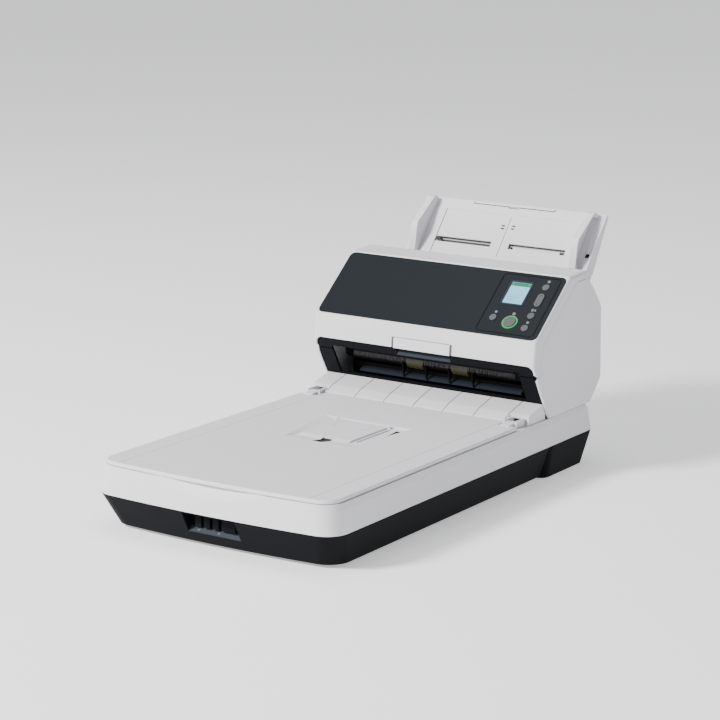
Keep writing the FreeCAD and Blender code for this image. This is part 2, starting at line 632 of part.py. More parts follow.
# ------------------------------------------------------------------ flatbed base
def base_lower_case():
    body = new_body("base_lower_case")
    rear = "rear_line + base_rear_over"
    top = "joint_height - joint_gap"
    half = "base_width/2"
    outer = plan(half, FRONT, rear, "front_corner", "rear_corner")
    tucked = plan(half + "-case_tuck", FRONT + "+case_front_tuck", "rear_line-skirt_length+case_tuck",
                  "front_corner", "rear_corner")
    upper = plan(half, FRONT, "rear_line-skirt_length+case_tuck", "front_corner", "rear_corner")
    loft(body, "AdditiveLoft", [(tucked, "case_floor"), (upper, top)])
    skirt_low = rounded("-(%s-skirt_tuck)" % half, "rear_line-skirt_length", half + "-skirt_tuck",
                        rear + "-case_rear_tuck", "rear_corner")
    skirt_high = rounded("-" + half, "rear_line-skirt_length", half, rear, "rear_corner")
    loft(body, "AdditiveLoft", [(skirt_low, "skirt_floor"), (skirt_high, top)])
    inner_low = plan(half + "-case_tuck-case_wall", FRONT + "+case_front_tuck+case_wall",
                     rear + "-case_rear_tuck-case_wall", "front_corner-case_wall", "rear_corner-case_wall")
    inner_high = plan(half + "-case_wall", FRONT + "+case_wall", rear + "-case_wall",
                      "front_corner-case_wall", "rear_corner-case_wall")
    loft(body, "SubtractiveLoft", [(inner_low, "case_floor+case_wall"), (inner_high, top + "+0.01")])
    # moulding behind the lock recess
    slope = "case_front_tuck/(joint_height-case_floor)"
    low = "recess_bottom-recess_block"
    front_low = FRONT + "+case_wall/2+(joint_height-(%s))*%s" % (low, slope)
    block = [(front_low, low), (FRONT + "+recess_back+recess_block", low),
             (FRONT + "+recess_back+recess_block", top), (FRONT + "+case_wall/2+0.3", top)]
    pad(body, "YZ_Plane", [block], "-(recess_left+recess_block)", "recess_left+recess_right+2*recess_block")
    recess = rectangle("-recess_left", "recess_bottom", "recess_right", "recess_top")
    pocket(body, "XZ_Plane", [recess], "-(%s-5)" % FRONT, "recess_back+5")
    tongue = rectangle("-lock_left+tongue_inset-lock_travel-run_gap",
                       "lock_floor+lock_height/2-tongue_height/2-run_gap",
                       "-lock_left+lock_width-tongue_inset+run_gap",
                       "lock_floor+lock_height/2+tongue_height/2+run_gap")
    pocket(body, "XZ_Plane", [tongue], "-(%s+recess_back-1)" % FRONT, "recess_block+2")
    # posts that hold the guide rod's ends
    for shift in ("0", "rod_length-6"):
        start = FRONT + "+rod_front+" + shift
        pad(body, "XY_Plane", [rectangle("rod_x-6", start, "rod_x+6", start + "+6")],
            "case_floor+case_wall-0.5", "rod_height+5.5-case_floor-case_wall")
    pocket(body, "XZ_Plane", [circle("rod_x", "rod_height", "rod_radius+0.02")],
           "-(%s+rod_front-0.5)" % FRONT, "rod_length+1")
    # openings for the sockets at the back
    sockets = [rectangle("82", "14", "110", "35"), rectangle("48", "16", "61", "28")]
    pocket(body, "XZ_Plane", sockets, "-(rear_line-22)", "30")
    feet = []
    for side in ("", "-"):
        feet.append(circle(side + "foot_inset_x", FRONT + "+foot_front", "foot_radius+fit_gap"))
        feet.append(circle(side + "foot_inset_x", "rear_line-foot_rear", "foot_radius+fit_gap"))
    pocket(body, "XY_Plane", feet, "case_floor+foot_sink", "foot_sink+1")
    return finish(body, "base_lower_case")


def base_upper_frame():
    body = new_body("base_upper_shell")
    half = "base_width/2"
    rear = "rear_line + base_rear_over"
    lower = plan(half, FRONT, rear, "front_corner", "rear_corner")
    shoulder = plan(half + "-shoulder_tuck", FRONT + "+shoulder_tuck/2", rear + "-shoulder_tuck",
                    "front_corner", "rear_corner")
    deck = plan(half + "-deck_tuck", FRONT + "+deck_tuck/2", rear + "-deck_tuck-2.0",
                "front_corner", "rear_corner")
    loft(body, "AdditiveLoft", [(lower, "joint_height"), (shoulder, "shoulder_height"),
                                (deck, "deck_height")])
    inside_low = plan(half + "-case_wall", FRONT + "+cavity_front", rear + "-case_wall",
                      "front_corner-case_wall", "rear_corner-case_wall")
    inside_high = plan(half + "-case_wall-deck_tuck", FRONT + "+cavity_front",
            rear + "-case_wall-deck_tuck",
                       "front_corner-case_wall", "rear_corner-case_wall")
    loft(body, "SubtractiveLoft", [(inside_low, "joint_height-0.01"),
                                   (inside_high, "deck_height-deck_thickness")])
    glass_front = FRONT + "+glass_front"
    glass_rear = FRONT + "+glass_front+glass_length"
    window = rectangle("-glass_width/2+glass_lip", glass_front + "+glass_lip",
                       "glass_width/2-glass_lip", glass_rear + "-glass_lip")
    pocket(body, "XY_Plane", [window], "deck_height+1", "deck_thickness+3")
    seat = rectangle("-glass_width/2-fit_gap", glass_front + "-fit_gap",
                     "glass_width/2+fit_gap", glass_rear + "+fit_gap")
    pocket(body, "XY_Plane", [seat], "deck_height+1", "deck_height+1-glass_top+glass_thickness")
    pad_seat = rounded("-glass_width/2-pad_margin-1", glass_front + "-pad_margin-1",
                       "glass_width/2+pad_margin+1", glass_rear + "+pad_margin+1", "4")
    pocket(body, "XY_Plane", [pad_seat], "deck_height+1", "deck_height+1-glass_top")
    # clearance well under the lid's hinge line
    well = rectangle("-lug_inner-lug_width-run_gap", "rear_line-lid_rear-lid_notch_depth",
                     "lug_inner+lug_width+run_gap", "rear_line-lid_axis_forward+lug_radius+1")
    pocket(body, "XY_Plane", [well], "deck_height+1", "deck_height+1-lid_axis_height+lug_radius+run_gap+1")
    # finger scoop: a wide round cut that leans into the front and runs out at its foot
    lean = "atan(scoop_drop/scoop_depth)"
    reach = "(scoop_depth-deck_tuck/2-front_bow*(scoop_width/base_width)^2)*sin(%s)" % lean
    half = "scoop_width/2"
    loop = [("-" + half, "-3*scoop_depth"), (half, "-3*scoop_depth"), (half, "-" + reach, reach),
            ("-" + half, "-" + reach)]
    scoop = plate("scoop_cut", "XY_Plane", [loop], "-2*scoop_drop", "4*scoop_drop",
                  ("0", FRONT + "+scoop_depth", "deck_height", "%s/(1 deg)-90" % lean))
    return finish(without("base_upper_frame", body, [scoop]), "base_upper_frame")


def document_glass():
    glass_front = FRONT + "+glass_front"
    return finish(plate("document_glass", "XY_Plane",
                        [rounded("-glass_width/2", glass_front, "glass_width/2",
                                 glass_front + "+glass_length", "2")],
                        "glass_top-glass_thickness", "glass_thickness"), "document_glass")


def rubber_feet():
    places = [("foot_inset_x", FRONT + "+foot_front"), ("-foot_inset_x", FRONT + "+foot_front"),
              ("foot_inset_x", "rear_line-foot_rear"), ("-foot_inset_x", "rear_line-foot_rear")]
    names = ("foot_front_right", "foot_front_left", "foot_rear_right", "foot_rear_left")
    for name, (x, y) in zip(names, places):
        body = new_body(name)
        pad(body, "XY_Plane", [circle(x, y, "foot_radius")], "0", "case_floor+foot_sink")
        soften(body, lambda edge: edge.BoundBox.ZMax < 1e-3, "0.8", "Chamfer")
        finish(body, name)


def lock_parts():
    """Transport lock: a ribbed slider over a sloped ledge."""
    front = FRONT + "+recess_back-run_gap-lock_depth"
    top = "lock_floor+lock_height"
    first = "-lock_left+lock_margin"
    body = new_body("lock_switch")
    face = rectangle("-lock_left", "lock_floor", "-lock_left+lock_width", top)
    pad(body, "XZ_Plane", [face], "-(%s+lock_depth)" % front, "lock_depth")
    rib = pad(body, "XZ_Plane", [rectangle(first, "lock_floor", first + "+rib_width", top)],
              "-(%s+0.01)" % front, "rib_stand")
    repeat_across(body, rib, "rib_pitch", 3)
    pad(body, "XZ_Plane", [rectangle(first + "+3*rib_pitch", "lock_floor",
                                     "-lock_left+lock_width-lock_margin", top)],
        "-(%s+0.01)" % front, "rib_stand")
    middle = "lock_floor+lock_height/2"
    tongue = rectangle("-lock_left+tongue_inset", middle + "-tongue_height/2",
                       "-lock_left+lock_width-tongue_inset", middle + "+tongue_height/2")
    behind = FRONT + "+recess_back+recess_block"
    pad(body, "XZ_Plane", [tongue], "-(%s+run_gap+1)" % behind, "recess_block+2*run_gap+2")
    head = rectangle("-lock_left+tongue_inset/2", "lock_floor", "-lock_left+lock_width-tongue_inset/2", top)
    pad(body, "XZ_Plane", [head], "-(%s+run_gap+lock_depth)" % behind, "lock_depth")
    finish(body, "lock_switch")

    low = "recess_bottom+fit_gap"
    high = "recess_bottom+ledge_rise"
    foot = FRONT + "+recess_back-fit_gap"
    lip = FRONT + "+case_front_tuck*(joint_height-recess_bottom)/(joint_height-case_floor)+fit_gap"
    wedge = [(lip, low), (foot, low), (foot, high), (lip + "+ledge_run", high), (lip, low + "+0.7")]
    finish(plate("lock_plate", "YZ_Plane", [wedge], "-recess_left+fit_gap",
                 "recess_left+recess_right-2*fit_gap"), "lock_plate")


def carriage_parts():
    front = FRONT + "+carriage_front"
    body = new_body("scan_carriage")
    trough = [(front, "carriage_floor"), (front + "+carriage_length", "carriage_floor"),
              (front + "+carriage_length", "carriage_top"), (front, "carriage_top")]
    pad(body, "YZ_Plane", [trough], "-carriage_width/2", "carriage_width")
    slot = rectangle("-carriage_width/2+6", front + "+6", "carriage_width/2-6",
                     front + "+carriage_length-6")
    pocket(body, "XY_Plane", [slot], "carriage_top", "10")
    bore = circle("rod_x", "rod_height", "rod_radius+shaft_gap")
    pocket(body, "XZ_Plane", [bore], "-(%s-1)" % front, "carriage_length+2")
    notch = rectangle("-drive_x-16", "carriage_floor-1", "-drive_x+16", "drive_height+12")
    pocket(body, "XZ_Plane", [notch], "-(%s-1)" % front, "carriage_length+2")
    finish(body, "scan_carriage")
    lamp = plate("carriage_lamp", "YZ_Plane",
                 [[(front + "+7", "carriage_top-9.8"), (front + "+carriage_length-7", "carriage_top-9.8"),
                   (front + "+carriage_length-7", "carriage_top-4"), (front + "+18", "carriage_top-1.5"),
                   (front + "+12", "carriage_top-1.5"), (front + "+7", "carriage_top-4")]],
                 "-carriage_width/2+7", "carriage_width-14")
    finish(lamp, "carriage_lamp")

    finish(rod("guide_rod", "rod_radius", ("rod_x", FRONT + "+rod_front", "rod_height"),
               "rod_length", "y"), "guide_rod")

    # belt loop lying level around an upright pulley at each end
    near = FRONT + "+rod_front+26"
    reach = "drive_pulley_radius+belt_gap"
    loop_in = [("-drive_x-(%s)" % reach, near), ("-drive_x+(%s)" % reach, near),
               ("-drive_x+(%s)" % reach, near + "+drive_span"), ("-drive_x-(%s)" % reach,
                       near + "+drive_span")]
    loop_in[0] = loop_in[0] + (reach,)
    loop_in[2] = loop_in[2] + (reach,)
    reach_out = reach + "+belt_thickness"
    loop_out = [("-drive_x-(%s)" % reach_out, near), ("-drive_x+(%s)" % reach_out, near),
                ("-drive_x+(%s)" % reach_out, near + "+drive_span"),
                ("-drive_x-(%s)" % reach_out, near + "+drive_span")]
    loop_out[0] = loop_out[0] + (reach_out,)
    loop_out[2] = loop_out[2] + (reach_out,)
    finish(plate("drive_belt", "XY_Plane", [loop_out, loop_in], "drive_height", "5"), "drive_belt")
    far = near + "+drive_span"
    pulley = without("drive_pulley",
                     rod("pulley_blank", "drive_pulley_radius", ("-drive_x", far, "drive_height-1"), "7",
                             "z"),
                     [rod("pulley_bore", "2+shaft_gap", ("-drive_x", far, "drive_height-3"), "12", "z")])
    finish(pulley, "drive_pulley")
    stand = joined("carriage_motor", [
        rod("motor_can", "motor_radius", ("-drive_x", far, "case_floor+case_wall"), "motor_height-1.5",
                "z"),
        rod("motor_spindle", "2", ("-drive_x", far, "case_floor+case_wall+motor_height-2"),
            "drive_height+8-case_floor-case_wall-motor_height", "z")])
    finish(stand, "carriage_motor")


def electrics():
    rear = "rear_line-9"
    board_low = "case_floor+case_wall+6"
    board = without("main_board_cut", box("main_board_blank", "-100", "rear_line-120", board_low,
                                          "40", rear + "-14", board_low + "+board_thickness"),
                    [rod("board_hole_%d" % number, "1.7", (x, "rear_line-112", "0"), "30", "z")
                     for number, x in enumerate(("-94", "34"))])
    parts = [board]
    for number, (x, y, w, d, tall) in enumerate((("-80", "-96", "24", "24", "2.4"),
                                                 ("-30", "-92", "16", "16", "2.0"),
                                                 ("-88", "-50", "9", "9", "9.0"),
                                                 ("10", "-60", "20", "12", "5.0"))):
        parts.append(box("chip_%d" % number, x, "rear_line" + y, board_low + "+board_thickness-0.2",
                         x + "+" + w, "rear_line" + y + "+" + d, board_low + "+board_thickness+" + tall))
    for number, x in enumerate(("-97", "31")):
        parts.append(rod("board_post_%d" % number, "3", (x + "+3", "rear_line-40",
                "case_floor+case_wall-0.0"),
                         "6.2", "z"))
    finish(joined("main_board", parts), "main_board")
    inlet = without("power_inlet_housing",
                    box("inlet_block", "83", rear + "-18", "15", "109", rear + "+2", "34"),
                    [box("inlet_well", "86", rear + "-13", "18", "106", rear + "+5", "31")])
    pins = [rod("inlet_pin_%d" % number, "1.1", (x, rear + "-14", "24"), "10", "y")
            for number, x in enumerate(("91", "101"))]
    finish(joined("power_inlet", [inlet] + pins), "power_inlet")
    port = without("usb_housing", box("usb_shell", "48.5", rear + "-18", "16.5", "60.5", rear + "+2",
            "27.5"),
                   [box("usb_well", "49.5", rear + "-11", "17.5", "59.5", rear + "+5", "26.5")])
    tongue = box("usb_tongue", "52", rear + "-12", "20", "57", rear + "-2", "24")
    finish(joined("usb_port", [port, tongue]), "usb_port")


# ------------------------------------------------------------------ lid
def lid_parts():
    half = "lid_width/2"
    front = FRONT + "+lid_front_tuck"
    rear = "rear_line-lid_rear"
    body = new_body("document_lid")
    bow = "front_bow*((%s-lid_corner)/(%s))^2" % (half, half)
    edge = front + "+" + bow
    inner = "lid_notch_inner"
    loop = [("-%s+lid_corner" % half, edge, bow), (half + "-lid_corner", edge, turn("lid_corner")),
            (half, edge + "+lid_corner"), (half, rear + "-lid_notch_depth"),
            (inner, rear + "-lid_notch_depth"), (inner, rear), ("-" + inner, rear),
            ("-" + inner, rear + "-lid_notch_depth"), ("-" + half, rear + "-lid_notch_depth"),
            ("-" + half, edge + "+lid_corner", turn("lid_corner"))]
    pad(body, "XY_Plane", [loop], "lid_underside", "lid_top-lid_underside")
    soften(body, lambda e: e.BoundBox.ZMin > value("lid_top") - 1e-3
           and e.BoundBox.YMax < value(rear + "-lid_notch_depth") + 1e-3, "1.2")
    pocket(body, "XY_Plane",
           [[("lid_seam_front", front), ("lid_seam_front+seam_width", front),
             ("lid_seam_rear-seam_width-1.5", rear + "-2"), ("lid_seam_rear-2*seam_width-1.5",
                     rear + "-2")],
            [("-lid_seam_front-seam_width", front), ("-lid_seam_front", front),
             ("-lid_seam_rear+2*seam_width+1.5", rear + "-2"), ("-lid_seam_rear+seam_width+1.5",
                     rear + "-2")]],
           "lid_top", "seam_depth")
    # stopper well: it slopes down from its left and front edges to a level floor
    well_back = "rear_line-well_rear"
    well_edge = "rear_line-well_front"
    cheek = "run_gap+flap_cheek"
    top_loop = [("-well_front_left", well_edge), ("well_front_right", well_edge),
                ("well_rear_right", well_back), ("-well_rear_left", well_back)]
    floor_loop = [("-flap_left-%s" % cheek.replace("+", "-"), well_edge + "+well_ease"),
                  ("well_front_right+2", well_edge + "+well_ease"), ("well_rear_right", well_back),
                  ("-flap_left-%s" % cheek.replace("+", "-"), well_back)]
    loft(body, "SubtractiveLoft", [(floor_loop, "well_floor"), (top_loop, "lid_top+0.01")])
    axis_y = "rear_line-flap_rear-flap_thickness/2"
    axis_z = "well_floor+fit_gap+flap_thickness/2"
    for low, high in (("-flap_left-run_gap-flap_cheek", "-flap_left-run_gap"),
                      ("flap_right+run_gap", "flap_right+run_gap+flap_cheek")):
        pad(body, "XY_Plane", [rectangle(low, axis_y + "-flap_cheek", high, axis_y + "+flap_cheek")],
            "well_floor-0.01", "lid_top-well_floor")
    rail = "flap_right+run_gap+flap_cheek"
    pad(body, "XY_Plane", [rectangle(rail + "+0.5", "rear_line-flap_rear-flap_length+flap_bevel",
                                     rail + "+2.5", "rear_line-flap_rear-3*flap_cheek")],
        "well_floor-0.01", "0.6*(lid_top-well_floor)")
    bore = circle(axis_y, axis_z, "flap_pin_radius+shaft_gap")
    pocket(body, "YZ_Plane", [bore], "flap_right+run_gap+flap_cheek-0.8",
           "flap_left+flap_right+2*run_gap+2*flap_cheek-1.6")
    front = "rear_line-flap_rear-flap_length"
    notch = rounded("-finger_width/2-1", well_edge + "-1", "finger_width/2-1", front + "+4", "2")
    pocket(body, "XY_Plane", [notch], "lid_top+0.1", "lid_top+0.1-well_floor+0.9")
    # pointed finger dip beside the flap
    pocket(body, "XY_Plane", [[("41", "rear_line-flap_rear-6"), ("44.5", "rear_line-flap_rear-36"),
                               ("48", "rear_line-flap_rear-6")]], "well_floor+0.1", "1.0")
    finish(body, "document_lid")

    flap = new_body("stopper_flap")
    radius = "flap_thickness/2"
    side = [(axis_y, axis_z + "-" + radius, radius), (axis_y, axis_z + "+" + radius),
            (front + "+flap_bevel", axis_z + "+" + radius),
            (front, axis_z + "+%s-flap_bevel_drop" % radius), (front, axis_z + "-" + radius)]
    pad(flap, "YZ_Plane", [side], "-flap_left", "flap_left+flap_right")
    pad(flap, "YZ_Plane", [circle(axis_y, axis_z, "flap_pin_radius")],
        "-flap_left-run_gap-flap_cheek+1.3", "flap_left+flap_right+2*run_gap+2*flap_cheek-2.6")
    notch = rounded("-finger_width/2-1", front + "-3", "finger_width/2-1", front + "+4", "2")
    pocket(flap, "XY_Plane", [notch], "lid_top", "lid_top-well_floor")
    door_back = "rear_line-flap_rear-2.5"
    door = rounded("-door_left", door_back + "-door_length", "door_right", door_back, "door_radius")
    inside = rounded("-door_left+seam_width", door_back + "-door_length+seam_width",
            "door_right-seam_width",
                     door_back + "-seam_width", "door_radius-seam_width")
    pocket(flap, "XY_Plane", [door, inside], axis_z + "+" + radius, "seam_depth")
    finish(flap, "stopper_flap")

    glass_front = FRONT + "+glass_front"
    finish(plate("lid_backing_pad", "XY_Plane",
                 [rounded("-glass_width/2-pad_margin+2", glass_front + "-pad_margin+2",
                          "glass_width/2+pad_margin-2",
                          glass_front + "+glass_length+pad_margin-2", "4")],
                 "lid_underside-pad_thickness", "pad_thickness"), "lid_backing_pad")

    axis = ("rear_line-lid_axis_forward", "lid_axis_height")
    for name, low in (("left", "-lug_inner-lug_width"), ("right", "lug_inner")):
        lug = new_body("lid_hinge_" + name)
        r = "lug_radius"
        notch_y = "rear_line-lid_rear-lid_notch_depth"
        side = [(notch_y, "lid_underside"), (axis[0], axis[1] + "-" + r, r), (axis[0], axis[1] + "+" + r),
                (notch_y + "-4", "lid_top+0.9"), (notch_y + "-4", "lid_top"), (notch_y, "lid_top")]
        pad(lug, "YZ_Plane", [side], low, "lug_width")
        pocket(lug, "YZ_Plane", [circle(axis[0], axis[1], "lid_pin_radius+shaft_gap")],
               low + "+lug_width+1", "lug_width+2")
        finish(lug, "lid_hinge_" + name)
        start = low + "-run_gap-ear_width"
        finish(rod("lid_pin_" + name, "lid_pin_radius", (start,) + axis,
                   "lug_width+2*run_gap+2*ear_width"), "lid_pin_" + name)


def exit_ramp():
    body = new_body("exit_ramp_slope")
    front = "rear_line-ramp_front"
    top = "rear_line-ramp_rear"
    back = "rear_line-ramp_back"
    low = "deck_height+0.1"
    wall = "ramp_wall"
    side = [(front, low), (back, low), (back, "ramp_top-3"), (top, "ramp_top"),
            (front + "+14", "ramp_front_top+5.4"), (front + "+1.2", "ramp_front_top"),
            (front, "ramp_front_top-1")]
    pad(body, "YZ_Plane", [side], "-ramp_width/2", "ramp_width")
    under = [(front + "+wall", low + "-1"), (back + "-wall", low + "-1"), (back + "-wall",
            "ramp_top-3-wall"),
             (top + "-0.5", "ramp_top-wall-0.6"), (front + "+15", "ramp_front_top+5.4-wall-0.4"),
             (front + "+wall", "ramp_front_top-wall")]
    under = [(y.replace("wall", wall), z.replace("wall", wall)) for y, z in under]
    pocket(body, "YZ_Plane", [under], "ramp_width/2-ramp_wall", "ramp_width-2*ramp_wall")
    line = [(front + "+1.0", "ramp_front_top-groove_depth+0.1"),
            (front + "+14", "ramp_front_top+5.4-groove_depth"), (top + "+0.3", "ramp_top-groove_depth"),
            (top + "+0.3", "ramp_top+1"), (front + "+13", "ramp_front_top+6.6"),
            (front + "+0.5", "ramp_front_top+1")]
    groove = pocket(body, "YZ_Plane", [line], "-3*groove_pitch+groove_width/2", "groove_width")
    repeat_across(body, groove, "groove_pitch", 7)
    notches = []
    ears = []
    holes = []
    axis = ("rear_line-lid_axis_forward", "lid_axis_height")
    for name, sign in (("left", -1), ("right", 1)):
        spans = [("lug_inner-run_gap-ear_width", "lug_inner-run_gap"),
                 ("lug_inner+lug_width+run_gap", "lug_inner+lug_width+run_gap+ear_width")]
        if sign > 0:
            notches.append(box("ramp_notch_" + name, "lid_notch_inner+fit_gap", front + "-9", low + "-2",
                               "ramp_width/2+1", "rear_line-ramp_notch", "ramp_top+2"))
        else:
            notches.append(box("ramp_notch_" + name, "-ramp_width/2-1", front + "-9", low + "-2",
                               "-lid_notch_inner-fit_gap", "rear_line-ramp_notch", "ramp_top+2"))
        for number, (low_x, high_x) in enumerate(spans):
            if sign < 0:
                low_x, high_x = "-(%s)" % high_x, "-(%s)" % low_x
            ears.append(box("ramp_ear_%s_%d" % (name, number), low_x, axis[0] + "-4.2", low, high_x,
                            "rear_line-ramp_notch+1.5", "lid_axis_height+5.6"))
            holes.append(rod("ear_bore_%s_%d" % (name, number), "lid_pin_radius+0.02",
                             (low_x + "-1",) + axis, "ear_width+2"))
    slope = without("exit_ramp_notched", body, notches)
    eared = joined("exit_ramp_eared", [slope] + ears)
    finish(without("exit_ramp", eared, holes), "exit_ramp")


# ------------------------------------------------------------------ feeder shells
def side_covers():
    """Fixed side shells; a flange beside the chute closes the top, a lip laps the rear cover."""
    inside = "feeder_width/2-cover_wall"
    gap = "run_gap"
    loop = [corner("sill"), corner("back_foot"), corner("back_turn"), corner("back_low"),
            corner("back_top"), corner("side_knee"), corner("side_slope"), corner("side_step"),
            corner("seam_rear", "0.3", "-0.8"), corner("seam_shelf", "0.2", "-0.8"),
            corner("seam_bend", "0.3", "-" + gap), corner("seam_slope", "0.3", "-" + gap),
            corner("seam_drop", gap, "-0.2"), corner("seam_low", gap, "0"),
            corner("seam_hook", gap, "-0.2"), corner("seam_end", "0", "-" + gap),
            corner("cheek"), corner("mouth_mid"), corner("mouth_foot")]
    back = [corner("back_foot", "-6", "0"), corner("back_foot", "-0.6", "0"), corner("back_turn", "-0.6",
            "0"),
            corner("back_low", "-0.6", "0"), corner("back_top", "-0.6", "0"), corner("back_top", "-6",
                    "-4"),
            corner("back_low", "-6", "2"), corner("back_turn", "-6", "2")]
    w = "cover_wall"
    flange = [corner("side_step", "-4.5", "-" + w), corner("side_step", "-1", "-" + w),
              corner("side_slope", "-" + w, "-1"), corner("side_knee", "-" + w, "-1"),
              corner("back_top", "-" + w, "0"), corner("back_top", "-0.5", "0"), corner("side_knee",
                      "-0.4", "0"),
              corner("side_slope", "-0.3", "0"), corner("side_step", "0", "-0.3"),
              corner("side_step", "-4.5", "-0.3")]
    reach = "feeder_width/2-cover_wall-chute_width/2-2*run_gap"
    for name, low in (("left", "-feeder_width/2"), ("right", inside)):
        body = new_body("side_cover_" + name)
        pad(body, "YZ_Plane", [loop], low, w)
        pad(body, "YZ_Plane", [back], "-feeder_width/2+0.5" if name == "left" else
            "feeder_width/2-cover_lap", "cover_lap-0.5")
        pad(body, "YZ_Plane", [flange], "-(%s)-0.1" % inside if name == "left" else
            "chute_width/2+2*run_gap", reach + "+0.1")
        far = value("feeder_width/2") * (-1 if name == "left" else 1)
        soften(body, lambda e: abs(e.BoundBox.XMin - far) < 1e-3 and abs(e.BoundBox.XMax - far) < 1e-3
               and e.BoundBox.YMax > value("rear_line+side_slope_y") + 1
               and e.BoundBox.ZMin > value("sill_z") + 5, "side_edge")
        finish(body, "side_cover_" + name)


def rear_cover():
    half = "feeder_width/2-cover_lap-fit_gap"
    loop = [corner("back_foot", "-3", "0"), corner("back_foot"), corner("back_turn"), corner("back_low"),
            corner("back_top", "0", "-3"), corner("back_top", "-3.2", "-3"), corner("back_low", "-3", "1"),
            corner("back_turn", "-3", "1")]
    body = new_body("rear_cover")
    pad(body, "YZ_Plane", [loop], "-(%s)" % half, "2*(%s)" % half)
    slit = pocket(body, "XZ_Plane", [rectangle("-60", "110", "-57", "150")], "-(rear_line+5)", "25")
    repeat_across(body, slit, "8", 14)
    finish(body, "rear_cover")


def feeder_frame():
    body = new_body("feeder_frame_block")
    foot = "feeder_floor+2"
    sink = "1.2"
    surface = [("rear_line+2.2", "191.0"), corner("path_mid", "0", "-" + sink),
               corner("path_exit", "2.0", "-%s-3" % sink)]
    loop = [("rear_line-frame_front+frame_wall", foot), ("rear_line-7.5", foot), ("rear_line+13.8", "95"),
            ("rear_line+14.2", "184"), ("rear_line+10.5", "190.9"), ("rear_line+6.9", "188.6")]
    loop += surface + [("rear_line-frame_front", "90")]
    pad(body, "YZ_Plane", [loop], "-frame_width/2", "frame_width")
    w = "frame_wall"
    hollow = [("rear_line-frame_front+2*" + w, foot + "-1"), ("rear_line-8.5-" + w, foot + "-1"),
              ("rear_line+13.8-" + w, "97"), ("rear_line+14.2-" + w, "180"), ("rear_line+5", "183.5"), ("rear_line+3", "184"),
              corner("path_mid", "0.8", "-%s-3.4" % sink),
              corner("path_exit", "5.5", "-%s-3.8" % sink), ("rear_line-frame_front+" + w, "91")]
    pocket(body, "YZ_Plane", [hollow], "frame_width/2-frame_wall", "frame_width-2*frame_wall")
    cuts = []
    for name, spread, width, radius in (("pick", "pick_spread", "pick_roller_width", "pick_roller_radius"),
                                        ("feed", "roller_spread", "exit_roller_width", "feed_roller_radius")):
        axis = (depth(name + "_axis"), name + "_axis_z")
        reach = "(" + radius + "+1.2)"
        for side in ("-", ""):
            middle = side + spread
            cuts.append(box("window_%s%s" % (name, "l" if side else "r"),
                            "%s-%s/2-1.2" % (middle, width), axis[0] + "-" + reach,
                            axis[1] + "-" + reach, "%s+%s/2+1.2" % (middle, width),
                            axis[0] + "+" + reach, axis[1] + "+" + reach + "+6"))
        cuts.append(rod("core_well_" + name, "shaft_radius+core_wall+core_room",
                        ("-%s-%s/2-4" % (spread, width),) + axis, "2*%s+%s+8" % (spread, width)))
        for side, low in (("l", "-frame_width/2-1"), ("r", "frame_width/2-frame_wall-1")):
            cuts.append(rod("bearing_%s%s" % (name, side), "shaft_radius+shaft_gap", (low,) + axis,
                            "frame_wall+2"))
    towers = []
    tower = [("rear_line-hinge_y-16", "146"), ("rear_line-hinge_y-2", "146"),
             ("rear_line-hinge_y+tower_head", "hinge_z-8"),
             ("rear_line-hinge_y+tower_head", "hinge_z", "tower_head"),
             ("rear_line-hinge_y-tower_head", "hinge_z"), ("rear_line-hinge_y-tower_head", "hinge_z-8")]
    for side, low in (("left", "-tower_outer"), ("right", "tower_inner")):
        piece = plate("tower_" + side, "YZ_Plane", [tower], low, "tower_outer-tower_inner")
        towers.append(piece)
    ties = []
    for side, low, high in (("left", "-tower_inner-1", "-frame_width/2+2"),
                            ("right", "frame_width/2-2", "tower_inner+1")):
        ties.append(box("tower_tie_" + side, low, "rear_line-hinge_y-8", "146", high,
                "rear_line-hinge_y-2.2", "154"))
    axis = ("rear_line-hinge_y", "hinge_z")
    for side, low in (("left", "-tower_inner-22"), ("right", "tower_inner+1")):
        ties.append(rod("tower_pin_" + side, "hinge_pin_radius", (low,) + axis, "21"))
    whole = joined("feeder_frame_whole", [body] + towers + ties)
    shell = without("feeder_frame_bored", whole, cuts)
    slope = "atan((path_mid_z-path_exit_z+3)/(path_mid_y-path_exit_y-2))"
    frame = ("0", "(rear_line-48)", "path_mid_z-1.2-18*tan(%s)" % slope, slope)
    groove = plate("scan_seat_cut", "XY_Plane",
                   [rectangle("-guide_width/2+8", "-7.2", "guide_width/2-8", "7.2")], "-2.2", "4", frame)
    finish(without("feeder_frame", shell, [groove]), "feeder_frame")
    glass = plate("feeder_scan_glass", "XY_Plane",
                  [rectangle("-guide_width/2+8.2", "-7", "guide_width/2-8.2", "7")], "-2.1", "2.0", frame)
    finish(glass, "feeder_scan_glass")


def mouth_bezel():
    """Dark frame round the foot and sides of the mouth, in the leaning mouth plane."""
    inner = "mouth_width/2"
    outer = "(feeder_width/2-cover_wall-run_gap)"
    low = "-43.4"
    top = "-5.7"
    sill = "-41.6"
    loop = [("-" + outer, top), ("-" + outer, low), (outer, low), (outer, top), (inner, top),
            (inner, sill), ("-" + inner, sill), ("-" + inner, top)]
    finish(plate("mouth_bezel", "XY_Plane", [loop], "-mouth_depth-0.6", "mouth_depth", MOUTH),
            "mouth_bezel")


def exit_guide():
    """Slate strip that slopes down in front of the feeder frame."""
    back = "rear_line-frame_front-fit_gap"
    loop = [(back, "90.5"), (back, "96.9"), (back + "-6.8", "93.2"), (back + "-6.5", "91.2")]
    finish(plate("exit_guide", "YZ_Plane", [list(reversed(loop))], "-exit_strip_width/2",
            "exit_strip_width"),
           "exit_guide")


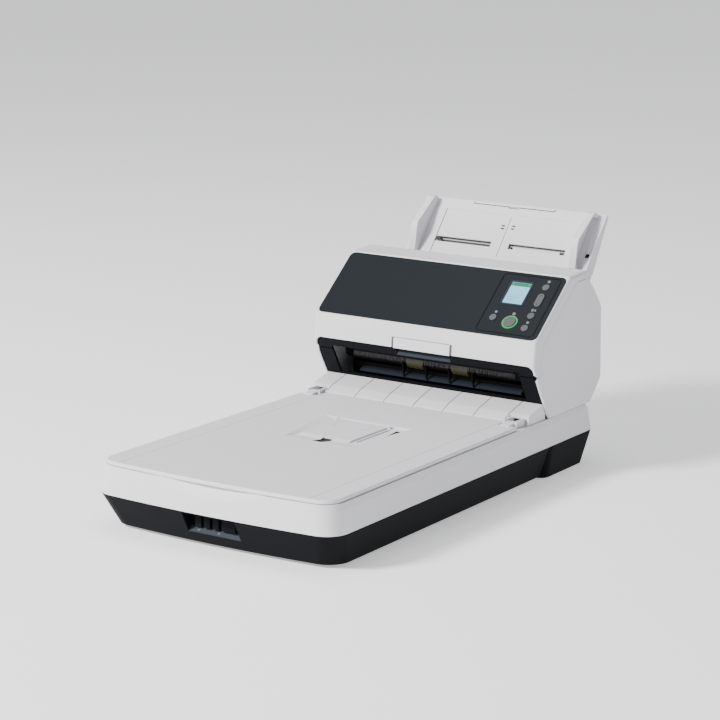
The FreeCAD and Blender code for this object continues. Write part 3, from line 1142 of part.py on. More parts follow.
# ------------------------------------------------------------------ feeder cover
def mouth_outline(half, low, high, radius):
    """Front view of the mouth's upper part: rounded upper corners."""
    half, high = "(%s)" % half, "(%s)" % high
    return [("-" + half, low), (half, low), (half, high + "-" + radius, turn(radius)),
            (half + "-" + radius, high), ("-%s+%s" % (half, radius), high, turn(radius)),
            ("-" + half, high + "-" + radius)]


def top_cover():
    body = new_body("top_cover_shell")
    outer = [corner("seam_end"), corner("seam_hook"), corner("seam_low"), corner("seam_drop"),
             corner("seam_slope"), corner("seam_bend"), corner("seam_shelf"), corner("seam_rear"),
             corner("crown"), corner("panel_head"), corner("panel_foot"), corner("fascia_foot"),
             corner("chin")]
    pad(body, "YZ_Plane", [outer], "-feeder_width/2", "feeder_width")
    half = value("feeder_width/2")

    def rim(edge):
        box_ = edge.BoundBox
        on_side = abs(abs(box_.XMin) - half) < 1e-3 and abs(box_.XMax - box_.XMin) < 1e-3
        y_mid = (box_.YMin + box_.YMax) / 2 - value("rear_line")
        z_mid = (box_.ZMin + box_.ZMax) / 2
        top_face = abs(z_mid - value("(panel_head_z+panel_foot_z)/2")) < 1
        crown = abs(z_mid - value("(panel_head_z+crown_z)/2")) < 0.3 and y_mid > -60
        fascia = abs(z_mid - value("(panel_foot_z+fascia_foot_z)/2")) < 1 and y_mid < -130
        return on_side and (top_face or crown or fascia)
    soften(body, rim, "shell_edge")
    s = "cover_skin"
    hollow = [corner("fascia_foot", s, "-30"), corner("panel_foot", s, "-1.2"), corner("panel_head",
            "1.2", "-" + s),
              ("rear_line+seam_rear_y-3", "crown_z-2.6"), ("rear_line+seam_rear_y-3", "crown_z-25"),
              corner("seam_slope", "8", "-25"), corner("seam_low", "6", "-25")]
    pocket(body, "YZ_Plane", [hollow], "feeder_width/2-cover_wall", "feeder_width-2*cover_wall")
    # the mouth under the fascia, with rounded upper corners
    pocket(body, "XZ_Plane", [mouth_outline("feeder_width/2-cover_wall", "chin_z-10", "fascia_foot_z",
                                            "mouth_corner")],
           "-(rear_line+fascia_foot_y-3)", "11")
    # opening for the lever
    lever = rectangle("-lever_width/2-run_gap", "fascia_foot_z-2", "lever_width/2+run_gap",
                      "fascia_foot_z+lever_height+run_gap")
    pocket(body, "XZ_Plane", [lever], "-(rear_line+fascia_foot_y-4)", "4+cover_skin+3")
    pocket(body, "YZ_Plane", [circle("rear_line+fascia_foot_y+2.3", "fascia_foot_z+lever_height-1.6",
                                     "lever_pin_radius+shaft_gap")], "lever_width/2+2.6", "lever_width+5.2")
    cuts = []
    # seat for the control panel
    half_panel = "feeder_width/2-panel_rim"
    seat = plate("panel_seat", "XY_Plane",
                 [rounded("-(%s)-fit_gap" % half_panel, "-panel_length+panel_rim-fit_gap",
                          half_panel + "+fit_gap", "-panel_rim+fit_gap", "panel_corner")],
                 "-panel_depth", "panel_depth+3", PANEL)
    cuts.append(seat)
    holes = [circle(x, y, r + "+button_gap") for x, y, r in button_places()]
    holes.append(rocker_loop("button_gap+0.3"))
    holes.append(circle("scan_x", "-scan_s", "ring_radius+fit_gap"))
    holes.append(rectangle("screen_left-1.5", "-screen_top-screen_height-1.5",
                           "screen_left+screen_width+1.5", "-screen_top+1.5"))
    cuts.append(plate("control_holes", "XY_Plane", holes, "-9", "12", PANEL))
    cuts.append(plate("rocker_bore", "YZ_Plane", [circle("-rocker_s", "-rocker_pin_depth",
            "rocker_pin_radius+shaft_gap")],
                      "column_x-rocker_width/2-2.2", "rocker_width+4.4", PANEL))
    bosses = []
    for side, low, high in (("left", "-feeder_width/2+cover_wall-0.2", "-tower_outer-1.2"),
                            ("right", "tower_outer+1.2", "feeder_width/2-cover_wall+0.2")):
        boss = rod("cover_boss_" + side, "hinge_boss_radius",
                   (low, "rear_line-hinge_y", "hinge_z"), "(%s)-(%s)" % (high, low))
        bosses.append(boss)
        notch_low, notch_high = ("-tower_outer-0.8", "-tower_inner+0.8") if side == "left" else \
            ("tower_inner-0.8", "tower_outer+0.8")
        cuts.append(box("tower_notch_" + side, notch_low, "rear_line+seam_rear_y-3.2", "hinge_z-12",
                        notch_high, "rear_line+seam_rear_y+1", "crown_z-2.6"))
        start = "-tower_inner-22.5" if side == "left" else "tower_outer"
        cuts.append(rod("boss_bore_" + side, "hinge_pin_radius+shaft_gap",
                        (start, "rear_line-hinge_y", "hinge_z"), "14"))
    whole = joined("top_cover_whole", [body] + bosses)
    finish(without("top_cover", whole, cuts), "top_cover")


def button_places():
    return [("column_x", "-menu_s", "small_radius"), ("column_x", "-manual_s", "small_radius"),
            ("column_x", "-power_s", "small_radius"), ("stop_x", "-stop_s", "small_radius")]


def rocker_loop(grow):
    wide = "(rocker_width/2+%s)" % grow
    tall = "(rocker_length/2+%s)" % grow
    low, high = "-rocker_s-%s+%s" % (tall, wide), "-rocker_s+%s-%s" % (tall, wide)
    return [("column_x-" + wide, low, wide), ("column_x+" + wide, low),
            ("column_x+" + wide, high, wide), ("column_x-" + wide, high)]


def control_panel():
    half = "feeder_width/2-panel_rim"
    outline = rounded("-(%s)" % half, "-panel_length+panel_rim", half, "-panel_rim", "panel_corner")
    body = new_body("control_panel")
    pad(body, "XY_Plane", [outline], "-panel_depth+0.05", "panel_depth")
    holes = [circle(x, y, r + "+button_gap") for x, y, r in button_places()]
    holes.append(rocker_loop("button_gap+0.3"))
    holes.append(circle("scan_x", "-scan_s", "ring_radius+fit_gap"))
    holes.append(rectangle("screen_left-fit_gap", "-screen_top-screen_height-fit_gap",
                           "screen_left+screen_width+fit_gap", "-screen_top+fit_gap"))
    pocket(body, "XY_Plane", holes, "1", "panel_depth+2")
    edge = rounded("field_left", "-field_bottom", "field_right", "-field_top", "field_corner")
    inner = rounded("field_left+0.6", "-field_bottom+0.6", "field_right-0.6", "-field_top-0.6",
                    "field_corner-0.6")
    pocket(body, "XY_Plane", [edge, inner], "0.06", "0.4")
    finish(place(body, PANEL), "control_panel")


def display():
    x0, x1 = "screen_left", "screen_left+screen_width"
    y0, y1 = "-screen_top-screen_height", "-screen_top"
    b = "screen_border"
    bezel = new_body("display_bezel")
    pad(bezel, "XY_Plane", [rounded(x0, y0, x1, y1, "1.5")], "-4.2", "4.6")
    pocket(bezel, "XY_Plane", [rectangle(x0 + "+" + b, y0 + "+" + b, x1 + "-" + b, y1 + "-" + b)], "1",
            "3.2")
    finish(place(bezel, PANEL), "display_bezel")
    finish(plate("display_screen", "XY_Plane",
                 [rectangle(x0 + "+%s+0.1" % b, y0 + "+%s+0.1" % b, x1 + "-%s-0.1" % b,
                         y1 + "-%s-0.1" % b)],
                 "-2.1", "2.0", PANEL), "display_screen")


def buttons():
    names = ("menu_button", "manual_feed_button", "power_button", "stop_button")
    under = "-(panel_depth+cover_skin)"
    for name, (x, y, radius) in zip(names, button_places()):
        body = new_body(name)
        pad(body, "XY_Plane", [circle(x, y, radius)], under + "-0.2",
                "panel_depth+cover_skin+0.2+button_stand")
        soften(body, lambda e: e.BoundBox.ZMin > value("button_stand") - 1e-3, "0.5")
        pad(body, "XY_Plane", [circle(x, y, radius + "+button_flange+button_gap")], under + "-1.3", "1.15")
        finish(place(body, PANEL), name)
    scan = new_body("scan_button")
    pad(scan, "XY_Plane", [circle("scan_x", "-scan_s", "scan_radius")], under + "-0.2",
        "panel_depth+cover_skin+0.2+button_stand+0.4")
    soften(scan, lambda e: e.BoundBox.ZMin > value("button_stand+0.4") - 1e-3, "0.6")
    pad(scan, "XY_Plane", [circle("scan_x", "-scan_s", "ring_radius+1.6")], under + "-1.6", "1.45")
    finish(place(scan, PANEL), "scan_button")
    ring = new_body("scan_light_ring")
    pad(ring, "XY_Plane", [circle("scan_x", "-scan_s", "ring_radius"),
                           circle("scan_x", "-scan_s", "scan_radius+button_gap")], "-panel_depth-2",
                                   "panel_depth+2.5")
    finish(place(ring, PANEL), "scan_light_ring")
    rocker = new_body("arrow_rocker")
    pad(rocker, "XY_Plane", [rocker_loop("0")], under + "-0.2", "panel_depth+cover_skin+0.2+button_stand")
    soften(rocker, lambda e: e.BoundBox.ZMin > value("button_stand") - 1e-3, "0.5")
    pad(rocker, "YZ_Plane", [circle("-rocker_s", "-rocker_pin_depth", "rocker_pin_radius")],
        "column_x-rocker_width/2-2.0", "rocker_width+4.0")
    finish(place(rocker, PANEL), "arrow_rocker")


def cover_lever():
    body = new_body("cover_lever")
    y = "rear_line+fascia_foot_y"
    top = "fascia_foot_z+lever_height"
    side = [(y + "-0.5", "fascia_foot_z-0.6"), (y + "+lever_depth-0.5", "fascia_foot_z-0.6"),
            (y + "+lever_depth+0.3", top + "-3"), (y + "+lever_depth+0.3", top + "-0.6"),
            (y + "+0.9", top + "-0.4"), (y + "+0.0", top + "-1.2")]
    pad(body, "YZ_Plane", [side], "-lever_width/2", "lever_width")
    pad(body, "YZ_Plane", [circle(y + "+2.3", top + "-1.6", "lever_pin_radius")], "-lever_width/2-2.4",
        "lever_width+4.8")
    finish(body, "cover_lever")


def cover_chin():
    """Dark bar between the fascia and the mouth with a finger recess in its middle."""
    half = "feeder_width/2-cover_wall-run_gap"
    body = new_body("cover_chin")
    y = "rear_line+chin_y"
    top = "fascia_foot_z-0.9"
    pad(body, "XZ_Plane", [mouth_outline(half, "chin_ends", top, "mouth_corner")],
        "-(%s+chin_depth)" % y, "chin_depth+2")
    front = [(y + "-3", "chin_ends-1"), (y + "+3.3", "chin_ends-1"), (y + "-0.9", top + "+1"),
             (y + "-3", top + "+1")]
    pocket(body, "YZ_Plane", [front], "150", "300")
    behind = rectangle(y + "+4.8", "chin_ends-1", y + "+chin_depth+1", "chin_foot")
    pocket(body, "YZ_Plane", [behind], "150", "300")
    middle = rectangle("-mouth_width/2", "chin_ends-1", "mouth_width/2", "chin_foot")
    pocket(body, "XZ_Plane", [middle], "-(%s-4)" % y, "20")
    scoop = [(y + "-4", "chin_foot-1"), (y + "+1.9", "chin_foot-1"), (y + "+6.5", top + "+1"),
             (y + "-4", top + "+1")]
    pocket(body, "YZ_Plane", [scoop], "chin_recess/2", "chin_recess")
    finish(body, "cover_chin")


def brush():
    loop = rectangle("rear_line-114.4", "118.2", "rear_line-111.4", "121.3")
    finish(plate("antistatic_brush", "YZ_Plane", [loop], "-brush_width/2", "brush_width"),
            "antistatic_brush")


def upper_guide():
    body = new_body("upper_guide_block")
    gap = "path_gap"
    loop = [corner("path_mid", "4.5", "5.4+%s*1.6" % gap), corner("path_mid", "0", gap + "+0.6"),
            corner("path_exit", "0", gap), corner("path_exit", "-6.5", "1.6"), ("rear_line-104.5", "121.5"),
            ("rear_line-115.5", "121.5"), ("rear_line-126.4", "127.2"),
            ("rear_line-126.4", "134.2"), ("rear_line-120", "150"),
            ("rear_line-62", "200"), ("rear_line-30", "207"), ("rear_line-27", "198")]
    pad(body, "YZ_Plane", [list(reversed(loop))], "-guide_width/2", "guide_width")
    hollow = [corner("path_mid", "0.5", "14"), corner("path_exit", "4", "15"), ("rear_line-109", "147"),
              ("rear_line-62", "190"), ("rear_line-33", "198")]
    pocket(body, "YZ_Plane", [list(reversed(hollow))], "guide_width/2-3", "guide_width-6")
    cuts = []
    for name, spread, width, radius in (("brake", "pick_spread", "pick_roller_width",
            "brake_roller_radius"),
                                        ("exit", "roller_spread", "exit_roller_width",
                                                "exit_roller_radius")):
        axis = (depth(name + "_axis"), name + "_axis_z")
        reach = "(" + radius + "+1.2)"
        for side in ("-", ""):
            middle = side + spread
            cuts.append(box("recess_%s%s" % (name, "l" if side else "r"),
                            "%s-%s/2-1.0" % (middle, width), axis[0] + "-" + reach + "-1",
                            axis[1] + "-" + reach, "%s+%s/2+1.0" % (middle, width),
                            axis[0] + "+" + reach + "+1", axis[1] + "+" + reach))
        cuts.append(rod("shaft_bore_" + name, "2.5+shaft_gap", ("-guide_width/2+0.5",) + axis,
                "guide_width-1"))
    ribs = []
    for number in range(4):
        x = "-1.5*exit_rib_pitch+%d*exit_rib_pitch" % number
        rib = plate("exit_rib_%d" % number, "YZ_Plane",
                    [[("rear_line-107", "122"), ("rear_line-104.5", "110"), ("rear_line-99.9", "92.6"),
                      ("rear_line-97", "103"), ("rear_line-95.5", "109.5"), ("rear_line-100", "122")]],
                    x + "-exit_rib_width/2", "exit_rib_width")
        ribs.append(rib)
    finish(without("upper_guide", joined("upper_guide_ribbed", [body] + ribs), cuts), "upper_guide")


# ------------------------------------------------------------------ rollers
def roller_set(label, name, radius, spread, width, shaft, length, bar=True):
    axis = (depth(name + "_axis"), name + "_axis_z")
    tyres = [rod("%s_%d" % (label, number), radius, ("%s%s-%s/2" % (side, spread, width),) + axis, width)
             for number, side in enumerate(("-", ""))]
    core = rod(label + "_core", shaft, ("-(%s)/2" % length,) + axis, length)
    return tyres, core


def rollers():
    tyres, core = roller_set("exit_tyre", "exit", "exit_roller_radius", "roller_spread",
                             "exit_roller_width", "2.5", "guide_width-8")
    finish(joined("exit_rollers", tyres + [core]), "exit_rollers")
    tyres, core = roller_set("brake_tyre", "brake", "brake_roller_radius", "pick_spread",
                             "pick_roller_width", "2.5", "guide_width-8")
    finish(joined("brake_rollers", tyres + [core]), "brake_rollers")
    for label, name, radius, spread, width in (
            ("pick_rollers", "pick", "pick_roller_radius", "pick_spread", "pick_roller_width"),
            ("feed_rollers", "feed", "feed_roller_radius", "roller_spread", "exit_roller_width")):
        tyres, core = roller_set(label, name, radius, spread, width, "shaft_radius+core_wall",
                                 "2*%s+%s+6" % (spread, width))
        axis = (depth(name + "_axis"), name + "_axis_z")
        bore = rod(label + "_bore", "shaft_radius", ("-100",) + axis, "200")
        finish(without(label + "_set", joined(label + "_hub", tyres + [core]), [bore]), label)
        shaft = rod(name + "_shaft_bar", "shaft_radius", ("-frame_width/2-20",) + axis, "frame_width+22")
        pulley = rod(name + "_pulley", "pulley_radius", ("-frame_width/2-19",) + axis, "pulley_width")
        finish(joined(name + "_shaft", [shaft, pulley]), name + "_shaft")
    belt_span = "sqrt((pick_axis_y-feed_axis_y)^2+(pick_axis_z-feed_axis_z)^2)"
    lean = "atan((pick_axis_z-feed_axis_z)/(pick_axis_y-feed_axis_y))"
    frame = ("-frame_width/2-18.5", depth("feed_axis"), "feed_axis_z", lean)
    inner = "(pulley_radius+belt_gap)"
    outer = "(pulley_radius+belt_gap+belt_thickness)"
    loops = []
    for reach in (outer, inner):
        loops.append([("0", "-" + reach), (belt_span, "-" + reach, reach), (belt_span, reach),
                      ("0", reach, reach)])
    body = plate("feeder_belt", "YZ_Plane", loops, "0", "6", frame)
    finish(body, "feeder_belt")


def feeder_drive():
    axis = ("rear_line-44", "112")
    low = "frame_width/2"
    can = rod("feeder_can", "motor_radius", (low + "+0.1",) + axis, "16")
    nose = rod("feeder_nose", "5", (low + "+16",) + axis, "3")
    finish(joined("feeder_motor", [can, nose]), "feeder_motor")


# ------------------------------------------------------------------ paper chute
def chute_tray():
    half = "chute_width/2"
    body = new_body("chute_tray_block")
    side = [("0", "0"), ("-chute_length", "0"), ("-chute_length", "-chute_toe"),
            ("-chute_heel_end", "-chute_heel"), ("-chute_heel_start", "-chute_heel"), ("0", "-chute_lip")]
    pad(body, "YZ_Plane", [list(reversed(side))], "-" + half, "chute_width")
    under = [("-6", "-chute_skin-3.2"), ("-chute_heel_start", "-chute_skin-3.2"),
             ("-chute_heel_end+2", "-chute_skin-3.2"), ("-chute_heel_end-4", "-chute_heel-1"),
             ("-6", "-chute_heel-1")]
    pocket(body, "YZ_Plane", [under], half + "-3", "chute_width-6")
    for side_ in ("-", ""):
        low, high = ("slot_inner", "slot_outer") if not side_ else ("-slot_outer", "-slot_inner")
        pocket(body, "XY_Plane", [rectangle(low, "-slot_top-slot_height", high, "-slot_top")], "1", "9")
    # pocket of the pull-out extension, open at the top edge
    pocket(body, "XY_Plane",
           [rectangle("-extension_width/2-run_gap", "-extension_length-run_gap",
                      "extension_width/2+run_gap", "5")],
           "-1.2", "extension_plate+2*run_gap")
    pocket(body, "XY_Plane", [rectangle("-extension_width/2-run_gap", "-extension_head-run_gap",
                                        "extension_width/2+run_gap", "1")], "0.01", "chute_lip+1")
    pocket(body, "XY_Plane", [rectangle("-thumb_notch/2", "-extension_head-2.6", "thumb_notch/2",
                                        "-extension_head+0.1")], "0.01", "1.3")
    # groove down the middle and the four small clip slots beside it
    pocket(body, "XY_Plane", [rectangle("groove_left", "-73", "groove_left+centre_groove", "-18")],
           "0.01", "1.1")
    pocket(body, "XY_Plane", [rectangle("-6.5", "-30.4", "-2.5", "-29.4"), rectangle("-6.5", "-34.4",
            "-2.5", "-33.4"),
                              rectangle("7", "-29.4", "11", "-28.4"), rectangle("7", "-33.4", "11",
                                      "-32.4")],
           "0.01", "1.4")
    # shelf line and fine panel lines on the paper face
    pocket(body, "XY_Plane", [rectangle("-103", "-14.9", "-6", "-14.3"), rectangle("10", "-14.9", "95",
            "-14.3"),
                              rectangle("-88.3", "-72", "-87.7", "-16"),
                              rectangle("112.6", "-76", "113.3", "-2"), rectangle("119.6", "-76", "120.3",
                                      "-2")],
           "0.01", "0.5")
    pocket(body, "XY_Plane", [rectangle("114.2", "-60.3", "119.4", "-54.5")], "0.01", "2.4")
    finish(place(body, CHUTE), "chute_tray")


def side_guides():
    n = "0.35"
    outline = [("-80.4", n), ("-80.4", "8.3"), ("-57.4", "22.5"), ("-54.0", "24.0"), ("-50.0", "24.4"),
               ("-7.4", "12.4"), ("-3.5", "9.0"), ("-2.0", "4.0"), ("-4.0", n)]
    for name, sign in (("left", -1), ("right", 1)):
        body = new_body("side_guide_" + name)
        low = "wing_inner" if sign > 0 else "-wing_inner-wing_thickness"
        pad(body, "YZ_Plane", [outline], low, "wing_thickness")
        hollow = [("-78.0", n + "-1"), ("-78.0", "7.6"), ("-56.0", "20.8"), ("-50.0", "22.2"), ("-9.0",
                "10.8"),
                  ("-6.0", n + "-1")]
        start = "wing_inner+wing_thickness+1" if sign > 0 else "-wing_inner-wing_wall"
        reach = "wing_thickness-wing_wall+1"
        pocket(body, "YZ_Plane", [hollow], start, reach)
        inner = "wing_inner-foot_plate" if sign > 0 else "-wing_inner-wing_wall"
        outer = "wing_inner+wing_wall" if sign > 0 else "-wing_inner+foot_plate"
        pad(body, "XY_Plane", [rectangle(inner, "-foot_toe", outer, "-foot_head")], n, "foot_thickness")
        stem_low = "slot_outer-8" if sign > 0 else "-slot_outer+0.6"
        stem_high = "slot_outer-0.6" if sign > 0 else "-slot_outer+8"
        lane = "-slot_top-slot_height+0.5" if sign > 0 else "-slot_top-0.5-stem_width"
        pad(body, "XY_Plane", [rectangle(stem_low, lane, stem_high, lane + "+stem_width")],
            "-8.6", "9.2")
        if sign > 0:
            rack = rectangle("-14", "-slot_top-slot_height+0.5", "slot_outer-0.6",
                    "-slot_top-slot_height+0.5+rack_height")
        else:
            rack = rectangle("-slot_outer+0.6", "-slot_top-0.5-rack_height", "14", "-slot_top-0.5")
        pad(body, "XY_Plane", [rack], "-8.6", "2")
        finish(place(body, CHUTE), "side_guide_" + name)


def chute_extension():
    """Plate that pulls out of the chute's top edge by a narrow head."""
    body = new_body("chute_extension")
    half = "extension_width/2"
    z = "-1.2-run_gap-extension_plate"
    pad(body, "XY_Plane", [rectangle("-" + half, "-extension_length", half, "-extension_head+1")], z,
        "extension_plate")
    pad(body, "XY_Plane", [rounded("-" + half, "-extension_head", half, "0.3", "0.8")], "-chute_lip",
        "chute_lip+0.2")
    splits = [rectangle(side + "extension_width/4-0.3", "-extension_head-1",
                        side + "extension_width/4+0.3", "1") for side in ("-", "")]
    pocket(body, "XY_Plane", splits, "0.21", "seam_depth")
    finish(place(body, CHUTE), "chute_extension")


# ------------------------------------------------------------------ build and write
def build():
    fill_sheet()
    base_lower_case()
    base_upper_frame()
    document_glass()
    rubber_feet()
    lock_parts()
    carriage_parts()
    electrics()
    lid_parts()
    exit_ramp()
    side_covers()
    rear_cover()
    feeder_frame()
    mouth_bezel()
    exit_guide()
    top_cover()
    control_panel()
    display()
    buttons()
    cover_lever()
    cover_chin()
    brush()
    upper_guide()
    rollers()
    feeder_drive()
    chute_tray()
    side_guides()
    chute_extension()


def write():
    doc.recompute()
    for thing in doc.Objects:
        if "Invalid" in thing.State or "Error" in thing.State:
            raise RuntimeError(thing.Label + ": " + ", ".join(thing.State))
    os.makedirs("parts", exist_ok=True)
    for thing in FINISHED:
        if thing.Shape.isNull() or not thing.Shape.isValid():
            raise RuntimeError(thing.Label + ": shape is not valid")
        thing.Shape.exportStep("parts/%s.step" % thing.Label)


build()
write()
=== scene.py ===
"""Sheet fed document scanner: finishes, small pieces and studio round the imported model."""

import json
import math
import random

import bmesh
import bpy
from bpy.props import FloatProperty, FloatVectorProperty, IntProperty, PointerProperty
from mathutils import Matrix, Vector


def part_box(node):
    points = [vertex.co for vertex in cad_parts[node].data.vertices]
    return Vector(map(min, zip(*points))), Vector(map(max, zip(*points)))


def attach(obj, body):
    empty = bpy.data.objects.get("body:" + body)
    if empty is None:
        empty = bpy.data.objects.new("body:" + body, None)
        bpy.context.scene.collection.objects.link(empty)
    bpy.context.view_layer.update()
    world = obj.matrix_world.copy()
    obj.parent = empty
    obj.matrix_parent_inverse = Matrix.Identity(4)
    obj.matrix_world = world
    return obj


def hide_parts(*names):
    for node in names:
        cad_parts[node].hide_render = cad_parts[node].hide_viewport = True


bl_info = {
    "name": "Document Scanner Studio",
    "version": (1, 0, 0),
    "blender": (4, 5, 0),
    "location": "View3D > Sidebar > Scanner",
    "description": "Finishes and studio for a sheet fed document scanner",
    "category": "Object",
}

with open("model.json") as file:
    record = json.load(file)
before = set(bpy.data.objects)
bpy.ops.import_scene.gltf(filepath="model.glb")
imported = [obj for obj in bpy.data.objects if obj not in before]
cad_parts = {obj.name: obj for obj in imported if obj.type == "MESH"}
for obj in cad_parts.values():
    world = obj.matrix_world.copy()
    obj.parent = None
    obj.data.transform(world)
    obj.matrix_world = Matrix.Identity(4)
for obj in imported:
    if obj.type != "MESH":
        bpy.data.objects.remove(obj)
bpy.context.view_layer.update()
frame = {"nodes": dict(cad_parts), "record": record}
RECORD = frame["record"]
JOINTS = {joint["name"]: joint for joint in RECORD["behaviour"]["joints"]}
MM = 0.001
LEVEL = Matrix.Identity(4)


# ---------------------------------------------------------------- settings
def colour(name, description, default):
    return FloatVectorProperty(name=name, description=description, subtype="COLOR", size=3,
                               min=0.0, max=1.0, default=default)


def length(name, description, default):
    return FloatProperty(name=name, description=description, unit="LENGTH", subtype="DISTANCE",
                         default=default, min=0.0)


class FinishSettings(bpy.types.PropertyGroup):
    """Colours of the moulded parts, and of the painted shade put into their slots and onto the guide bars."""

    shell: colour("Pale Plastic", "Lid, deck and feeder shells", (0.76, 0.755, 0.785))
    case: colour("Dark Plastic", "Lower half of the flatbed", (0.0045, 0.005, 0.0065))
    panel: colour("Control Panel", "Face that carries the display", (0.0075, 0.0105, 0.0135))
    inner: colour("Inner Parts", "Paper guides inside the feeder", (0.004, 0.004, 0.005))
    slate: colour("Slate Strip", "Exit guide and recess linings", (0.024, 0.030, 0.042))
    keys: colour("Buttons", "Round buttons and arrow rocker", (0.085, 0.093, 0.10))
    olive: colour("Olive Rollers", "Exit and feed rollers", (0.060, 0.056, 0.024))
    ring: colour("Light Ring", "Ring round the scan button", (0.008, 0.30, 0.045))
    # Painted shade: the next two colours are painted into slots, notches and onto the guide bars, where shade
    # falls.
    shadow: colour("Painted Slot Shade", "Dark lining inside slots and notches", (0.012, 0.012, 0.013))
    rack_shade: colour("Painted Rack Shade", "Side guide bars inside the slots", (0.045, 0.045, 0.045))
    ramp_pitch: length("Ramp Pitch", "Distance between the grooves of the ramp", 0.0393)
    grain_depth: length("Grain Depth", "Depth of the moulded texture", 0.00003)


class PanelSettings(bpy.types.PropertyGroup):
    """Printed signs and the display picture."""

    ink: colour("Ink", "Printed signs", (0.42, 0.45, 0.47))
    sign: length("Sign Height", "Height of the printed signs", 0.0032)
    print_depth: length("Print Thickness", "Thickness of the printed ink", 0.00006)
    header: colour("Header", "Strip across the top of the display", (0.003, 0.13, 0.06))
    page: colour("Page", "Lit background of the display", (0.20, 0.46, 0.62))


class BrushSettings(bpy.types.PropertyGroup):
    """Tinsel brush over the exit."""

    bristles: IntProperty(name="Bristles", description="Tinsel strands", default=460, min=100, max=6000)
    strand: length("Strand", "Length of one strand", 0.0060)


class StageSettings(bpy.types.PropertyGroup):
    """Camera, floor and lights."""

    camera_place: FloatVectorProperty(name="Camera", description="Camera position", subtype="TRANSLATION",
                                      unit="LENGTH", size=3, default=(1.3660, -2.1884, 0.71085))
    camera_turn: FloatVectorProperty(name="Aim", description="Heading, dip and roll of the camera",
                                     subtype="EULER", unit="ROTATION", size=3,
                                     default=tuple(math.radians(turn) for turn in (32.335, 12.423, 0.859)))
    lens: FloatProperty(name="Lens", description="Focal length in millimetres", default=120.03, min=10.0)
    floor: colour("Floor", "Floor and backdrop", (0.93, 0.93, 0.935))
    glow: FloatProperty(name="Glow", description="Brightness added to the floor", default=0.50, min=0.0)
    key: FloatProperty(name="Key", description="Main light in watts", default=260.0, min=0.0)
    fill: FloatProperty(name="Fill", description="Fill light in watts", default=12.0, min=0.0)
    sky: FloatProperty(name="Sky", description="Strength of the room light", default=0.46, min=0.0)


# ---------------------------------------------------------------- node groups
def new_group(name, inputs, outputs):
    """An empty node group with named sockets, and its two end nodes."""
    group = bpy.data.node_groups.new(name, "ShaderNodeTree")
    for label, kind, default in inputs:
        socket = group.interface.new_socket(name=label, in_out="INPUT", socket_type=kind)
        if default is not None:
            socket.default_value = default
    for label, kind in outputs:
        group.interface.new_socket(name=label, in_out="OUTPUT", socket_type=kind)
    entry = group.nodes.new("NodeGroupInput")
    leave = group.nodes.new("NodeGroupOutput")
    return group, entry, leave


def math_node(tree, operation, first, second):
    """Output of a Math node whose inputs are numbers or sockets."""
    node = tree.nodes.new("ShaderNodeMath")
    node.operation = operation
    for socket, item in zip(node.inputs, (first, second)):
        if isinstance(item, (int, float)):
            socket.default_value = item
        else:
            tree.links.new(item, socket)
    return node.outputs[0]


def grain_group():
    """Spark eroded mould texture: fine pits with a slow drift."""
    pit_scale, pit_share = 0.6, 0.5
    group, entry, leave = new_group(
        "Moulded Grain",
        [("Vector", "NodeSocketVector", None), ("Scale", "NodeSocketFloat", 2600.0)],
        [("Height", "NodeSocketFloat"), ("Drift", "NodeSocketFloat")])
    fine = group.nodes.new("ShaderNodeTexNoise")
    fine.inputs["Detail"].default_value = 2.0
    pits = group.nodes.new("ShaderNodeTexVoronoi")
    slow = group.nodes.new("ShaderNodeTexNoise")
    slow.inputs["Scale"].default_value = 14.0
    slow.inputs["Detail"].default_value = 3.0
    links = group.links
    for node in (fine, pits, slow):
        links.new(entry.outputs["Vector"], node.inputs["Vector"])
    links.new(entry.outputs["Scale"], fine.inputs["Scale"])
    links.new(math_node(group, "MULTIPLY", entry.outputs["Scale"], pit_scale), pits.inputs["Scale"])
    pitted = math_node(group, "MULTIPLY", pits.outputs["Distance"], pit_share)
    links.new(math_node(group, "ADD", fine.outputs[0], pitted), leave.inputs["Height"])
    links.new(slow.outputs[0], leave.inputs["Drift"])
    return group


def tint_group():
    """A colour that drifts a little lighter and darker."""
    group, entry, leave = new_group(
        "Tone Drift",
        [("Colour", "NodeSocketColor", (0.5, 0.5, 0.5, 1.0)), ("Drift", "NodeSocketFloat", 0.5),
         ("Amount", "NodeSocketFloat", 0.04)],
        [("Colour", "NodeSocketColor")])
    centred = math_node(group, "SUBTRACT", entry.outputs["Drift"], 0.5)
    gain = math_node(group, "ADD", math_node(group, "MULTIPLY", centred, entry.outputs["Amount"]), 1.0)
    scale = group.nodes.new("ShaderNodeVectorMath")
    scale.operation = "SCALE"
    group.links.new(entry.outputs["Colour"], scale.inputs[0])
    group.links.new(gain, scale.inputs["Scale"])
    group.links.new(scale.outputs[0], leave.inputs["Colour"])
    return group


def box_mask_group():
    """One inside a box between two corners, zero outside."""
    group, entry, leave = new_group(
        "Box Mask",
        [(label, "NodeSocketVector", None) for label in ("Vector", "Low", "High")],
        [("Mask", "NodeSocketFloat")])
    links = group.links
    above = group.nodes.new("ShaderNodeVectorMath")
    below = group.nodes.new("ShaderNodeVectorMath")
    least = group.nodes.new("ShaderNodeVectorMath")
    above.operation = below.operation = "SUBTRACT"
    least.operation = "MINIMUM"
    links.new(entry.outputs["Vector"], above.inputs[0])
    links.new(entry.outputs["Low"], above.inputs[1])
    links.new(entry.outputs["High"], below.inputs[0])
    links.new(entry.outputs["Vector"], below.inputs[1])
    links.new(above.outputs[0], least.inputs[0])
    links.new(below.outputs[0], least.inputs[1])
    parts = group.nodes.new("ShaderNodeSeparateXYZ")
    links.new(least.outputs[0], parts.inputs[0])
    smaller = math_node(group, "MINIMUM", parts.outputs[0], parts.outputs[1])
    smallest = math_node(group, "MINIMUM", smaller, parts.outputs[2])
    links.new(math_node(group, "GREATER_THAN", smallest, 0.0), leave.inputs["Mask"])
    return group


GROUPS = {}


